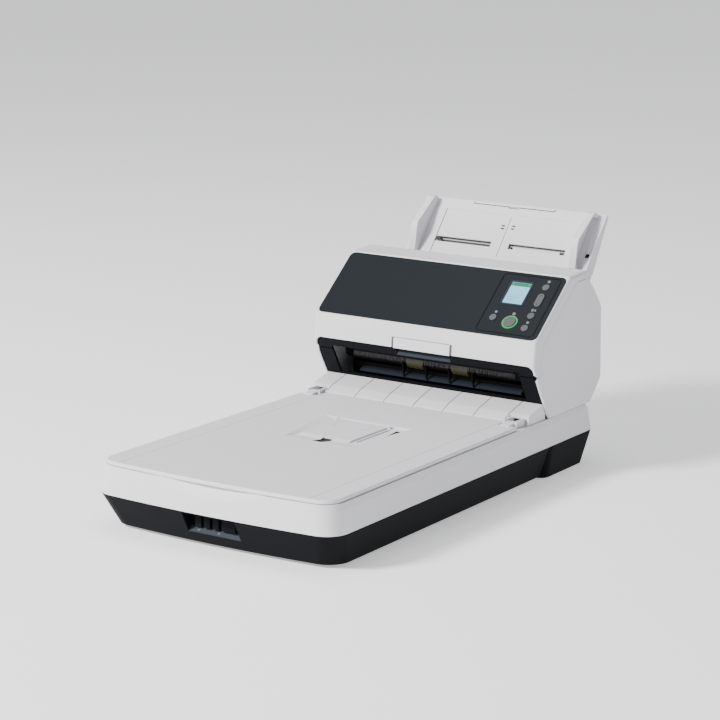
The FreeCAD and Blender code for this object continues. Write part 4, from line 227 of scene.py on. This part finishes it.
def group_node(tree, name, maker, **values):
    """A node that uses the named group, made on first use; values are numbers or sockets."""
    if name not in GROUPS:
        GROUPS[name] = maker()
    node = tree.nodes.new("ShaderNodeGroup")
    node.node_tree = GROUPS[name]
    for label, item in values.items():
        socket = node.inputs[label]
        if isinstance(item, bpy.types.NodeSocket):
            tree.links.new(item, socket)
        else:
            socket.default_value = item
    return node


# ---------------------------------------------------------------- materials
def start_material(name, roughness, metallic=0.0):
    """A new material with its tree, its shader and the object coordinates."""
    material = bpy.data.materials.new(name)
    material.use_nodes = True
    tree = material.node_tree
    shader = tree.nodes["Principled BSDF"]
    shader.inputs["Roughness"].default_value = roughness
    shader.inputs["Metallic"].default_value = metallic
    where = tree.nodes.new("ShaderNodeTexCoord").outputs["Object"]
    return material, tree, shader, where


def rgba(values):
    return (*values, 1.0)


def moulded(name, base, roughness, grain, depth, drift, sheen, lining_and_painted_shade=None, zones=()):
    """Moulded plastic or rubber; zones are (matrix, low, high) boxes that take the zone colour: painted shade
    in slots, grooves and gaps, and the slate lining of the chin pull.
    """
    bump_strength, gloss_drift = 0.6, 0.06
    mix_first, mix_second, mix_result = 6, 7, 2
    material, tree, shader, where = start_material(name, roughness)
    grain_node = group_node(tree, "Moulded Grain", grain_group, Vector=where, Scale=grain)
    tone = group_node(tree, "Tone Drift", tint_group, Colour=rgba(base), Drift=grain_node.outputs["Drift"],
                      Amount=drift)
    paint = tone.outputs["Colour"]
    # Each zone box mixes the zone colour over the tone: painted shade, save for the slate lining of the chin
    # pull.
    for matrix, low, high in zones:
        inverse = matrix.inverted()
        local = tree.nodes.new("ShaderNodeMapping")
        local.inputs["Location"].default_value = inverse.to_translation()
        local.inputs["Rotation"].default_value = inverse.to_euler()
        tree.links.new(where, local.inputs["Vector"])
        mask = group_node(tree, "Box Mask", box_mask_group, Vector=local.outputs[0], Low=low, High=high)
        blend = tree.nodes.new("ShaderNodeMix")
        blend.data_type = "RGBA"
        tree.links.new(mask.outputs["Mask"], blend.inputs["Factor"])
        tree.links.new(paint, blend.inputs[mix_first])
        blend.inputs[mix_second].default_value = rgba(lining_and_painted_shade)
        paint = blend.outputs[mix_result]
    tree.links.new(paint, shader.inputs["Base Color"])
    rough = math_node(tree, "MULTIPLY_ADD", grain_node.outputs["Drift"], gloss_drift)
    rough.node.inputs[2].default_value = roughness - gloss_drift / 2
    tree.links.new(rough, shader.inputs["Roughness"])
    bump = tree.nodes.new("ShaderNodeBump")
    bump.inputs["Strength"].default_value = bump_strength
    bump.inputs["Distance"].default_value = depth
    tree.links.new(grain_node.outputs["Height"], bump.inputs["Height"])
    tree.links.new(bump.outputs["Normal"], shader.inputs["Normal"])
    shader.inputs["Specular IOR Level"].default_value = sheen
    return material


def metal(name, base, roughness, axis):
    """Drawn or turned metal with fine lines along an axis."""
    along, across = 40.0, 2400.0
    line_tone, line_strength, line_depth = 0.25, 0.3, 0.00001
    material, tree, shader, where = start_material(name, roughness, 1.0)
    stretch = tree.nodes.new("ShaderNodeMapping")
    stretch.inputs["Scale"].default_value = [along if number == axis else across for number in range(3)]
    tree.links.new(where, stretch.inputs["Vector"])
    lines = tree.nodes.new("ShaderNodeTexNoise")
    lines.inputs["Scale"].default_value = 1.0
    tree.links.new(stretch.outputs[0], lines.inputs["Vector"])
    tone = group_node(tree, "Tone Drift", tint_group, Colour=rgba(base), Drift=lines.outputs[0],
                      Amount=line_tone)
    tree.links.new(tone.outputs["Colour"], shader.inputs["Base Color"])
    bump = tree.nodes.new("ShaderNodeBump")
    bump.inputs["Strength"].default_value = line_strength
    bump.inputs["Distance"].default_value = line_depth
    tree.links.new(lines.outputs[0], bump.inputs["Height"])
    tree.links.new(bump.outputs["Normal"], shader.inputs["Normal"])
    return material


def lit(name, base, strength):
    """A softly glowing plastic."""
    roughness, grain, drift = 0.25, 500.0, 0.10
    material, tree, shader, where = start_material(name, roughness)
    grain_node = group_node(tree, "Moulded Grain", grain_group, Vector=where, Scale=grain)
    tone = group_node(tree, "Tone Drift", tint_group, Colour=rgba(base), Drift=grain_node.outputs["Drift"],
                      Amount=drift)
    tree.links.new(tone.outputs["Colour"], shader.inputs["Base Color"])
    tree.links.new(tone.outputs["Colour"], shader.inputs["Emission Color"])
    shader.inputs["Emission Strength"].default_value = strength
    return material


def glass(name, tint):
    """Clear float glass."""
    roughness, grain, drift, bending = 0.03, 60.0, 0.03, 1.5
    material, tree, shader, where = start_material(name, roughness)
    grain_node = group_node(tree, "Moulded Grain", grain_group, Vector=where, Scale=grain)
    tone = group_node(tree, "Tone Drift", tint_group, Colour=rgba(tint), Drift=grain_node.outputs["Drift"],
                      Amount=drift)
    tree.links.new(tone.outputs["Colour"], shader.inputs["Base Color"])
    shader.inputs["Transmission Weight"].default_value = 1.0
    shader.inputs["IOR"].default_value = bending
    return material


MATERIALS = {}


def build_materials(finish, panel):
    """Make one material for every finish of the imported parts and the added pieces."""
    rubber = (0.02, 0.02, 0.02)
    faint = tuple(value * 0.16 for value in panel.ink)
    dim_page = tuple(value * 0.55 for value in panel.page)
    # name, colour, roughness, grain scale, grain depth as a share, drift of the tone, sheen
    plastics = {
        "shell_light": ("Pale Plastic", finish.shell, 0.50, 2600.0, 1.0, 0.03, 0.4),
        "case_dark": ("Dark Plastic", finish.case, 0.58, 1500.0, 2.0, 0.12, 0.06),
        "inner_dark": ("Inner Black", finish.inner, 0.55, 1900.0, 1.0, 0.10, 0.10),
        "strip_slate": ("Slate Strip", finish.slate, 0.45, 2600.0, 1.0, 0.08, 0.15),
        "panel_dark": ("Panel Slate", finish.panel, 0.42, 3200.0, 0.6, 0.08, 0.2),
        "key_grey": ("Button Grey", finish.keys, 0.45, 3200.0, 0.6, 0.05, 0.3),
        "rubber_foot": ("Foot Rubber", rubber, 0.80, 1400.0, 3.0, 0.12, 0.5),
        "roller_olive": ("Olive Rubber", finish.olive, 0.50, 2400.0, 2.0, 0.25, 0.3),
        "roller_dark": ("Dark Rubber", rubber, 0.65, 1800.0, 3.0, 0.12, 0.3),
        "belt_rubber": ("Belt Rubber", (0.02, 0.02, 0.022), 0.60, 1200.0, 4.0, 0.10, 0.5),
        "motor_metal": ("Motor Paint", (0.10, 0.10, 0.11), 0.45, 900.0, 2.0, 0.10, 0.5),
        "board_green": ("Solder Mask", (0.01, 0.10, 0.04), 0.35, 700.0, 3.0, 0.25, 0.5),
        "socket_black": ("Socket Black", (0.012, 0.012, 0.013), 0.35, 2200.0, 1.0, 0.08, 0.5),
        "pad_white": ("Foam Pad", (0.80, 0.80, 0.80), 0.70, 900.0, 4.0, 0.04, 0.5),
        "ink": ("Printed Ink", panel.ink, 0.60, 3000.0, 0.3, 0.05, 0.5),
        "faint_ink": ("Faint Ink", faint, 0.60, 3000.0, 0.3, 0.05, 0.5),
    }
    for key, (name, base, roughness, grain, share, drift, sheen) in plastics.items():
        MATERIALS[key] = moulded(name, base, roughness, grain, finish.grain_depth * share, drift, sheen)
    # name, colour, glow
    lamps = {
        "ring_green": ("Light Ring", finish.ring, 0.45),
        "screen_glass": ("Display Glow", panel.page, 0.40),
        "lamp_white": ("Lamp Diffuser", (0.80, 0.80, 0.76), 0.05),
        "header": ("Display Header", panel.header, 0.5),
        "lamp_line": ("Display Lines", dim_page, 0.20),
    }
    for key, (name, base, glow) in lamps.items():
        MATERIALS[key] = lit(name, base, glow)
    # name, colour, roughness, axis of the fine lines
    metals = {
        "steel": ("Ground Steel", (0.55, 0.55, 0.56), 0.28, 0),
        "brass_pulley": ("Turned Brass", (0.60, 0.42, 0.15), 0.30, 2),
        "brush_fibre": ("Brush Fibre", (0.10, 0.10, 0.095), 0.30, 2),
    }
    for key, (name, base, roughness, axis) in metals.items():
        MATERIALS[key] = metal(name, base, roughness, axis)
    MATERIALS["clear_glass"] = glass("Clear Glass", (0.93, 0.97, 0.96))


def chute_shade_zones(chute):
    """Painted shade on the chute tray: in the slots, round the head of the extension, in the thumb notch and
    the clip marks.
    """
    low, high = lean_box("chute_tray", chute)
    plate_low, plate_high = lean_box("chute_extension", chute)
    proud = 1 * MM
    side, foot, crown = 3 * MM, 4 * MM, 2 * MM
    slot_floor, slot_top = -4.4 * MM, -1.3 * MM
    slots = (chute, (low.x + side, low.y + foot, slot_floor), (high.x - side, high.y - crown, slot_top))
    head_gap, head_fall = 0.9 * MM, 3.9 * MM
    head = (chute, (plate_low.x - head_gap, high.y - head_fall, slot_floor),
            (plate_high.x + head_gap, high.y + proud, proud))
    thumb_half, thumb_foot, thumb_crown = 7.6 * MM, 5.8 * MM, 2.6 * MM
    thumb_floor, thumb_top = -3 * MM, -0.5 * MM
    thumb = (chute, (-thumb_half, high.y - thumb_foot, thumb_floor),
             (thumb_half, high.y - thumb_crown, thumb_top))
    clip_long, clip_wide, clip_floor = 4.6, 1.9, -3 * MM
    clip_corners = ((-6.8, -30.9), (-6.8, -34.9), (6.7, -29.9), (6.7, -33.9))
    clips = [(chute, (x * MM, y * MM, clip_floor), ((x + clip_long) * MM, (y + clip_wide) * MM, proud))
             for x, y in clip_corners]
    return [slots, head, thumb] + clips


def extension_shade_zone(chute):
    """Painted shade on the stretch of the extension that lies behind the slots of the chute."""
    tray_low = lean_box("chute_tray", chute)[0]
    low, high = lean_box("chute_extension", chute)
    around, crown, top = 1 * MM, -3.4 * MM, -0.9 * MM
    return chute, (low.x - around, low.y - around, tray_low.z), (high.x + around, crown, top)


def guide_bar_shade_zone(chute):
    """Painted shade on the bars of the side guides, which run behind the slots of the chute."""
    low, high = lean_box("chute_tray", chute)
    half, deep = 87.6 * MM, 9 * MM
    return chute, (-half, low.y, low.z - deep), (half, high.y, deep)


def lid_notch_shade_zone():
    """Painted shade deep in the well of the stopper flap in the lid."""
    flap_low, flap_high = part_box("stopper_flap")
    lid_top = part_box("document_lid")[1][2]
    front, right, back = 25 * MM, 22 * MM, 2 * MM
    floor, rim = 3.7 * MM, 2.45 * MM
    return (LEVEL, (flap_low[0], flap_low[1] - front, lid_top - floor),
            (flap_high[0] + right, flap_high[1] - back, lid_top - rim))


def chin_pull_zone():
    """Finger pull under the chin bar."""
    low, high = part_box("cover_chin")
    half, front, back, skin = 36.2 * MM, 1.2 * MM, 7.2 * MM, 0.1 * MM
    return LEVEL, (-half, low[1] + front, low[2]), (half, low[1] + back, high[2] - skin)


def lever_gap_shade_zone():
    """Painted shade in the gap of the cover round the release lever."""
    low, high = (Vector(corner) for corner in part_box("cover_lever"))
    rim, front = Vector((0.55 * MM, 0.0, 0.55 * MM)), Vector((0.0, 6 * MM, 0.0))
    return LEVEL, low - rim - front, high + rim


def groove_shade_zones(pitch):
    """Painted shade in the grooves down the exit ramp."""
    low, high = (Vector(corner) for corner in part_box("exit_ramp"))
    half, proud = 0.5 * MM, 1 * MM
    return [(LEVEL, (pitch * number - half, low.y, low.z), (pitch * number + half, high.y, high.z + proud))
            for number in range(-3, 4)]


def lined_and_painted_shade_materials(finish):
    """Finishes of single parts: painted shade in their slots, notches, grooves and gaps, and the slate lining
    of the chin pull.
    """
    chute = lean_frame("chute_tray", chute_tilt())

    def pale(name, lining_and_painted_shade, zones, roughness=0.50):
        return moulded(name, finish.shell, roughness, 2600.0, finish.grain_depth, 0.03, 0.4, lining_and_painted_shade, zones)

    # Painted shade on the guide bars behind the slots of the chute.
    guides = pale("Side Guides", finish.rack_shade, [guide_bar_shade_zone(chute)])
    return {
        # Painted shade in the gap round the release lever.
        "top_cover": pale("Top Cover", (0.09, 0.09, 0.095), [lever_gap_shade_zone()]),
        # Painted shade in the grooves of the ramp.
        "exit_ramp": pale("Ramp", (0.12, 0.12, 0.125), groove_shade_zones(finish.ramp_pitch)),
        # Painted shade in the slots and notches of the chute tray.
        "chute_tray": pale("Chute", finish.shadow, chute_shade_zones(chute)),
        "side_guide_left": guides,
        "side_guide_right": guides,
        # Painted shade on the part of the extension behind the slots.
        "chute_extension": pale("Extension", (0.10, 0.10, 0.102), [extension_shade_zone(chute)]),
        # Painted shade in the well of the stopper flap.
        "document_lid": pale("Lid", finish.shadow, [lid_notch_shade_zone()], roughness=0.52),
        "cover_chin": moulded("Chin Bar", finish.case, 0.55, 1500.0, finish.grain_depth, 0.12, 0.08,
                              finish.slate, [chin_pull_zone()]),
    }


# ---------------------------------------------------------------- pieces
def piece(name, mesh_maker, material, body):
    """A finished mesh from a bmesh maker, riding on a body."""
    shape = bmesh.new()
    mesh_maker(shape)
    bmesh.ops.recalc_face_normals(shape, faces=shape.faces)
    mesh = bpy.data.meshes.new(name)
    shape.to_mesh(mesh)
    shape.free()
    thing = bpy.data.objects.new(name, mesh)
    bpy.context.collection.objects.link(thing)
    mesh.materials.append(material)
    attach(thing, body)
    return thing


def slab(shape, outline, low, high, where):
    """A closed thin plate with the given outline between two heights of a leaning frame."""
    verts = [shape.verts.new((x, y, low)) for x, y in outline]
    under = shape.faces.new(verts)
    grown = bmesh.ops.extrude_face_region(shape, geom=[under], use_keep_orig=True)
    raised = [item for item in grown["geom"] if isinstance(item, bmesh.types.BMVert)]
    bmesh.ops.translate(shape, verts=raised, vec=(0.0, 0.0, high - low))
    bmesh.ops.transform(shape, matrix=where, verts=verts + raised)


def plates(outlines, low, high, where):
    """A maker of several plates at once."""
    def maker(shape):
        for outline in outlines:
            slab(shape, outline, low, high, where)
    return maker


def disc_outline(x, y, radius, count):
    angles = [2 * math.pi * step / count for step in range(count)]
    return [(x + radius * math.cos(angle), y + radius * math.sin(angle)) for angle in angles]


def bar_outline(x0, y0, x1, y1):
    return [(x0, y0), (x1, y0), (x1, y1), (x0, y1)]


def arc_outlines(x, y, radius, width, start, end, count):
    """Short bars that follow an arc; angles in degrees."""
    angles = [math.radians(start + (end - start) * step / count) for step in range(count + 1)]
    outer, inner = radius + width / 2, radius - width / 2

    def place(reach, angle):
        return x + reach * math.cos(angle), y + reach * math.sin(angle)

    return [[place(inner, first), place(outer, first), place(outer, second), place(inner, second)]
            for first, second in zip(angles, angles[1:])]


def page_outlines(x, y, size, line):
    """A sheet of paper drawn with four thin bars."""
    across, up = size * 0.36, size * 0.5
    return [bar_outline(x - across, y - up, x + across, y - up + line),
            bar_outline(x - across, y + up - line, x + across, y + up),
            bar_outline(x - across, y - up + line, x - across + line, y + up - line),
            bar_outline(x + across - line, y - up + line, x + across, y + up - line)]


def arrow_outlines(x, y, size, line):
    """An arrow pointing down the slope."""
    neck, up, barb = size * 0.1, size * 0.5, size * 0.28
    return [bar_outline(x - line / 2, y - neck, x + line / 2, y + up),
            [(x - barb, y - neck), (x, y - up), (x + barb, y - neck)]]


def padlock_outlines(x, y, size, line, shift):
    """A padlock: body and hoop; the hoop is shifted when open."""
    across, down, hoop = size * 0.34, size * 0.5, size * 0.24
    body = bar_outline(x - across, y - down, x + across, y)
    return [body] + arc_outlines(x + shift, y, hoop, line, 0, 180, 8)


def menu_outlines(x, y, size, line):
    """The three lines of a list."""
    half = size * 0.5
    return [bar_outline(x - half, y + size * step, x + half, y + size * step + line)
            for step in (-0.35, 0.0, 0.35)]


def manual_feed_outlines(x, y, size, line):
    """A sheet beside an arrow."""
    return page_outlines(x - size * 0.6, y, size, line) + arrow_outlines(x + size * 0.5, y, size, line)


def power_outlines(x, y, size, line):
    """A broken ring with a bar in its gap."""
    radius, up = size * 0.38, size * 0.5
    ring = arc_outlines(x, y, radius, line, 120, 420, 14)
    return ring + [bar_outline(x - line / 2, y, x + line / 2, y + up)]


def stop_outlines(x, y, size, line):
    """A ring round a square."""
    radius, half = size * 0.40, size * 0.14
    ring = arc_outlines(x, y, radius, line, 0, 360, 16)
    return ring + [bar_outline(x - half, y - half, x + half, y + half)]


def scan_outlines(x, y, size, line):
    """A sheet with a scan line across it."""
    half = size * 0.6
    return page_outlines(x, y, size, line) + [bar_outline(x - half, y - line / 2, x + half, y + line / 2)]


SIGNS = {"menu_button": menu_outlines, "manual_feed_button": manual_feed_outlines,
         "power_button": power_outlines, "stop_button": stop_outlines, "scan_button": scan_outlines}


def rounded_frame_outlines(left, right, bottom, top, corner, wide):
    """A thin line round a rectangle with round corners."""
    runs = [bar_outline(left + corner, top - wide, right - corner, top),
            bar_outline(left + corner, bottom, right - corner, bottom + wide),
            bar_outline(left, bottom + corner, left + wide, top - corner),
            bar_outline(right - wide, bottom + corner, right, top - corner)]
    centres = ((right - corner, top - corner), (left + corner, top - corner),
               (left + corner, bottom + corner), (right - corner, bottom + corner))
    for quarter, (x, y) in enumerate(centres):
        runs += arc_outlines(x, y, corner - wide / 2, wide, 90 * quarter, 90 * quarter + 90, 8)
    return runs


def panel_tilt():
    press = Vector(JOINTS["menu_press"]["axis"])
    return math.atan2(press.y, -press.z)


def chute_tilt():
    pull = Vector(JOINTS["extension_slide"]["axis"])
    return math.atan2(pull.z, pull.y)


def lean_frame(node, tilt):
    """Frame leaning about X: Y up the slope, Z out of the node's highest face, origin at its top edge."""
    turn = Matrix.Rotation(tilt, 4, "X")
    inverse = turn.inverted()
    places = [inverse @ vertex.co for vertex in frame["nodes"][node].data.vertices]
    top = Vector((0.0, max(place.y for place in places), max(place.z for place in places)))
    return turn @ Matrix.Translation(top)


def lean_box(node, lean):
    """Lowest and highest corner of a node in a leaning frame."""
    inverse = lean.inverted()
    places = [inverse @ vertex.co for vertex in frame["nodes"][node].data.vertices]
    low = Vector([min(place[axis] for place in places) for axis in range(3)])
    high = Vector([max(place[axis] for place in places) for axis in range(3)])
    return low, high


class SCANNER_OT_finish_nodes(bpy.types.Operator):
    """Give every moulded and metal part its finish"""

    bl_idname = "scanner.finish_nodes"
    bl_label = "Finish Parts"

    def execute(self, context):
        scene = context.scene
        build_materials(scene.scanner_finish, scene.scanner_panel)
        slots = {entry["node"]: entry["material_slot"] for entry in RECORD["subparts"]}
        special = lined_and_painted_shade_materials(scene.scanner_finish)
        for node, thing in frame["nodes"].items():
            thing.data.materials.clear()
            thing.data.materials.append(special.get(node, MATERIALS[slots[node]]))
        return {"FINISHED"}


class SCANNER_OT_display(bpy.types.Operator):
    """Draw the picture of the display"""

    bl_idname = "scanner.display"
    bl_label = "Display Picture"

    def execute(self, context):
        settings = context.scene.scanner_panel
        lean = lean_frame("control_panel", panel_tilt())
        low, high = lean_box("display_screen", lean)
        width, tall = high.x - low.x, high.y - low.y
        top, thin, rim, strip = high.z, settings.print_depth, 0.4 * MM, tall * 0.17
        header = [bar_outline(low.x + rim, high.y - strip, high.x - rim, high.y - rim)]
        piece("display_header", plates(header, top, top + thin, lean), MATERIALS["header"], "cover")

        # shares of the display: where each line stands and ends, its thickness, the rule and the two dots
        line_rows, line_start, line_thick = ((0.12, 0.62), (0.20, 0.50), (0.30, 0.70)), 0.10, 0.018
        rule_start, rule_low, rule_high = 0.08, 0.40, 0.406
        dot_places, dot_fall, dot_radius = (0.10, 0.90), 0.086, 0.022
        rows = [bar_outline(low.x + width * line_start, low.y + tall * part,
                            low.x + width * end, low.y + tall * (part + line_thick))
                for part, end in line_rows]
        rows += [bar_outline(low.x + width * rule_start, low.y + tall * rule_low,
                             high.x - width * rule_start, low.y + tall * rule_high)]
        rows += [disc_outline(low.x + width * part, high.y - tall * dot_fall, tall * dot_radius, 12)
                 for part in dot_places]
        piece("display_lines", plates(rows, top + thin, top + 2 * thin, lean), MATERIALS["lamp_line"],
              "cover")
        return {"FINISHED"}


class SCANNER_OT_signs(bpy.types.Operator):
    """Print a plain sign over each button, the line round the controls and the arrows of the rocker"""

    bl_idname = "scanner.signs"
    bl_label = "Button Signs"

    def execute(self, context):
        settings = context.scene.scanner_panel
        size, thin = settings.sign, settings.print_depth
        line, clear = size * 0.13, 1.6 * MM
        lean = lean_frame("control_panel", panel_tilt())
        for node, draw in SIGNS.items():
            low, high = lean_box(node, lean)
            edge = lean_box("scan_light_ring", lean)[1].y if node == "scan_button" else high.y
            outlines = draw((low.x + high.x) / 2, edge + size * 0.5 + clear, size, line)
            name = node.replace("_button", "_sign")
            piece(name, plates(outlines, 0.0, thin, lean), MATERIALS["ink"], "cover")

        low, high = lean_box("menu_button", lean)
        to_left, to_right, to_top, to_bottom = 53.5 * MM, 9.4 * MM, 9.2 * MM, 78.3 * MM
        corner, wide = 5.0 * MM, 0.7 * MM
        field = rounded_frame_outlines(low.x - to_left, high.x + to_right, high.y - to_bottom,
                                       high.y + to_top, corner, wide)
        piece("control_field_line", plates(field, 0.0, thin / 2, lean), MATERIALS["inner_dark"], "cover")

        low, high = lean_box("arrow_rocker", lean)
        middle, inset, reach = (low.x + high.x) / 2, 3.6 * MM, size * 0.3
        point = reach * 1.2
        chevrons = [[(middle - reach, y), (middle + reach, y), (middle, y + way * point)][::way]
                    for y, way in ((high.y - inset, 1), (low.y + inset, -1))]
        piece("rocker_arrows", plates(chevrons, high.z - thin, high.z + thin, lean), MATERIALS["case_dark"],
              "arrow_key")
        return {"FINISHED"}


class SCANNER_OT_brush(bpy.types.Operator):
    """Hang the tinsel brush over the exit"""

    bl_idname = "scanner.brush"
    bl_label = "Tinsel Brush"

    def execute(self, context):
        settings = context.scene.scanner_brush
        low, high = (Vector(corner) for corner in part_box("antistatic_brush"))
        seed = 41
        chance = random.Random(seed)
        edge, root = 0.4 * MM, 0.3 * MM
        row_start, row_width, shortest, uneven = 0.3, 0.4, 0.80, 0.25
        tip_radius, root_radius = 0.07 * MM, 0.09 * MM
        sideways, forwards = 13, 8

        def holder(shape):
            slab(shape, bar_outline(low.x, low.y, high.x, high.y), low.z, high.z, LEVEL)
            bmesh.ops.bevel(shape, geom=list(shape.edges), offset=edge, segments=2, profile=0.5,
                            affect="EDGES", material=-1)

        def strands(shape):
            for number in range(settings.bristles):
                x = low.x + (high.x - low.x) * (number + chance.random()) / settings.bristles
                y = low.y + (high.y - low.y) * (row_start + row_width * chance.random())
                reach = settings.strand * (shortest + uneven * chance.random())
                sway = Matrix.Rotation(math.radians(chance.uniform(-sideways, sideways)), 4, "Y") \
                    @ Matrix.Rotation(math.radians(chance.uniform(-forwards, forwards)), 4, "X")
                hang = Matrix.Translation((0, 0, -reach / 2))
                place = Matrix.Translation((x, y, low.z + root)) @ sway @ hang
                bmesh.ops.create_cone(shape, cap_ends=True, segments=3, radius1=tip_radius,
                                      radius2=root_radius, depth=reach, matrix=place)

        bar = piece("brush_holder", holder, MATERIALS["inner_dark"], "cover")
        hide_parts("antistatic_brush")
        piece("tinsel_strands", strands, MATERIALS["brush_fibre"], "cover")
        return {"FINISHED"}


class SCANNER_OT_small_parts(bpy.types.Operator):
    """Add the lock signs and the clips at the ends of the mouth"""

    bl_idname = "scanner.small_parts"
    bl_label = "Small Parts"

    def execute(self, context):
        settings = context.scene.scanner_panel
        size, thin = settings.sign, settings.print_depth
        low, high = (Vector(corner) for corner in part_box("lock_plate"))
        lip, run = 0.7 * MM, 4.4 * MM
        rise = high.z - low.z - lip
        slope = Matrix.Translation((0.0, low.y, low.z + lip)) @ Matrix.Rotation(math.atan2(rise, run), 4, "X")
        middle, icon = math.hypot(rise, run) / 2, size * 1.1
        open_x, open_line, open_shift = -19.5 * MM, size * 0.12, icon * 0.4
        closed_x, closed_line = 5.6 * MM, size * 0.14
        outlines = padlock_outlines(open_x, middle, icon, open_line, open_shift) \
            + padlock_outlines(closed_x, middle, icon, closed_line, 0.0)
        piece("lock_signs", plates(outlines, 0.0, thin, slope), MATERIALS["faint_ink"], "base")

        low, high = (Vector(corner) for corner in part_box("exit_guide"))
        upright = Matrix.Translation((0.0, low.y, 0.0)) @ Matrix.Rotation(math.pi / 2, 4, "X")
        z, half, tall, radius, apart = high.z + 13.0 * MM, 4.5 * MM, 2.2 * MM, 2.2 * MM, 6.0 * MM
        back, front, reach = -1.2 * MM, 0.4 * MM, 116.5 * MM
        for name, x in (("mouth_clip_left", -reach), ("mouth_clip_right", reach)):
            clip = [bar_outline(x - half, z, x + half, z + tall), disc_outline(x, z + apart, radius, 20)]
            piece(name, plates(clip, back, front, upright), MATERIALS["steel"], "base")
        return {"FINISHED"}


def area_light(name, place, size, watts, tint):
    """A square soft light that shines on the middle of the object."""
    target = Vector((0.0, 0.0, 0.1))
    lamp = bpy.data.lights.new(name, "AREA")
    lamp.energy = watts
    lamp.shape = "RECTANGLE"
    lamp.size = lamp.size_y = size
    lamp.color = tint
    thing = bpy.data.objects.new(name, lamp)
    thing.location = place
    aim = target - Vector(place)
    thing.rotation_euler = aim.to_track_quat("-Z", "Y").to_euler()
    bpy.context.scene.collection.objects.link(thing)


class SCANNER_OT_stage(bpy.types.Operator):
    """Set the floor, the lights and the camera"""

    bl_idname = "scanner.stage"
    bl_label = "Studio"

    def execute(self, context):
        stage = context.scene.scanner_stage
        scene = context.scene
        size, roughness, grain, depth, drift, sheen = 9.0, 0.9, 300.0, 0.00001, 0.01, 0.5
        shape = bmesh.new()
        bmesh.ops.create_grid(shape, x_segments=1, y_segments=1, size=size)
        mesh = bpy.data.meshes.new("Floor")
        shape.to_mesh(mesh)
        shape.free()
        floor = bpy.data.objects.new("Floor", mesh)
        scene.collection.objects.link(floor)
        material = moulded("Studio Floor", stage.floor, roughness, grain, depth, drift, sheen)
        shader = material.node_tree.nodes["Principled BSDF"]
        shader.inputs["Emission Color"].default_value = (1.0, 1.0, 1.0, 1.0)
        shader.inputs["Emission Strength"].default_value = stage.glow
        mesh.materials.append(material)

        world = bpy.data.worlds.new("Studio")
        world.use_nodes = True
        background = world.node_tree.nodes["Background"]
        background.inputs["Color"].default_value = (0.95, 0.97, 1.0, 1.0)
        background.inputs["Strength"].default_value = stage.sky
        scene.world = world

        area_light("Key", (-1.5, -2.8, 2.3), 0.8, stage.key, (1.0, 0.99, 0.98))
        area_light("Top", (-0.4, 0.2, 2.4), 1.6, stage.fill, (0.97, 0.97, 1.0))

        lens = bpy.data.cameras.new("Camera")
        lens.lens = stage.lens
        lens.sensor_width = 36.0
        lens.clip_end = 50.0
        camera = bpy.data.objects.new("Camera", lens)
        heading, dip, roll = stage.camera_turn
        camera.matrix_world = (Matrix.Translation(Vector(stage.camera_place))
                               @ Matrix.Rotation(heading, 4, "Z")
                               @ Matrix.Rotation(math.pi / 2 - dip, 4, "X")
                               @ Matrix.Rotation(roll, 4, "Z"))
        scene.collection.objects.link(camera)
        scene.camera = camera
        return {"FINISHED"}


class SCANNER_PT_panel(bpy.types.Panel):
    """Lists the build steps of the scanner as buttons"""

    bl_idname = "SCANNER_PT_panel"
    bl_label = "Scanner"
    bl_space_type = "VIEW_3D"
    bl_region_type = "UI"
    bl_category = "Scanner"

    def draw(self, context):
        for step in STEPS:
            self.layout.operator(step.bl_idname)


STEPS = (SCANNER_OT_finish_nodes, SCANNER_OT_display, SCANNER_OT_signs, SCANNER_OT_brush,
         SCANNER_OT_small_parts, SCANNER_OT_stage)
GROUPS_OF_SETTINGS = {"scanner_finish": FinishSettings, "scanner_panel": PanelSettings,
                      "scanner_brush": BrushSettings, "scanner_stage": StageSettings}


def register():
    for settings in GROUPS_OF_SETTINGS.values():
        bpy.utils.register_class(settings)
    for step in STEPS:
        bpy.utils.register_class(step)
    bpy.utils.register_class(SCANNER_PT_panel)
    for name, settings in GROUPS_OF_SETTINGS.items():
        setattr(bpy.types.Scene, name, PointerProperty(type=settings))


def unregister():
    for name in GROUPS_OF_SETTINGS:
        delattr(bpy.types.Scene, name)
    bpy.utils.unregister_class(SCANNER_PT_panel)
    for step in reversed(STEPS):
        bpy.utils.unregister_class(step)
    for settings in reversed(list(GROUPS_OF_SETTINGS.values())):
        bpy.utils.unregister_class(settings)


def main():
    register()
    for step in STEPS:
        group, action = step.bl_idname.split(".")
        getattr(getattr(bpy.ops, group), action)()


if __name__ == "__main__":
    main()
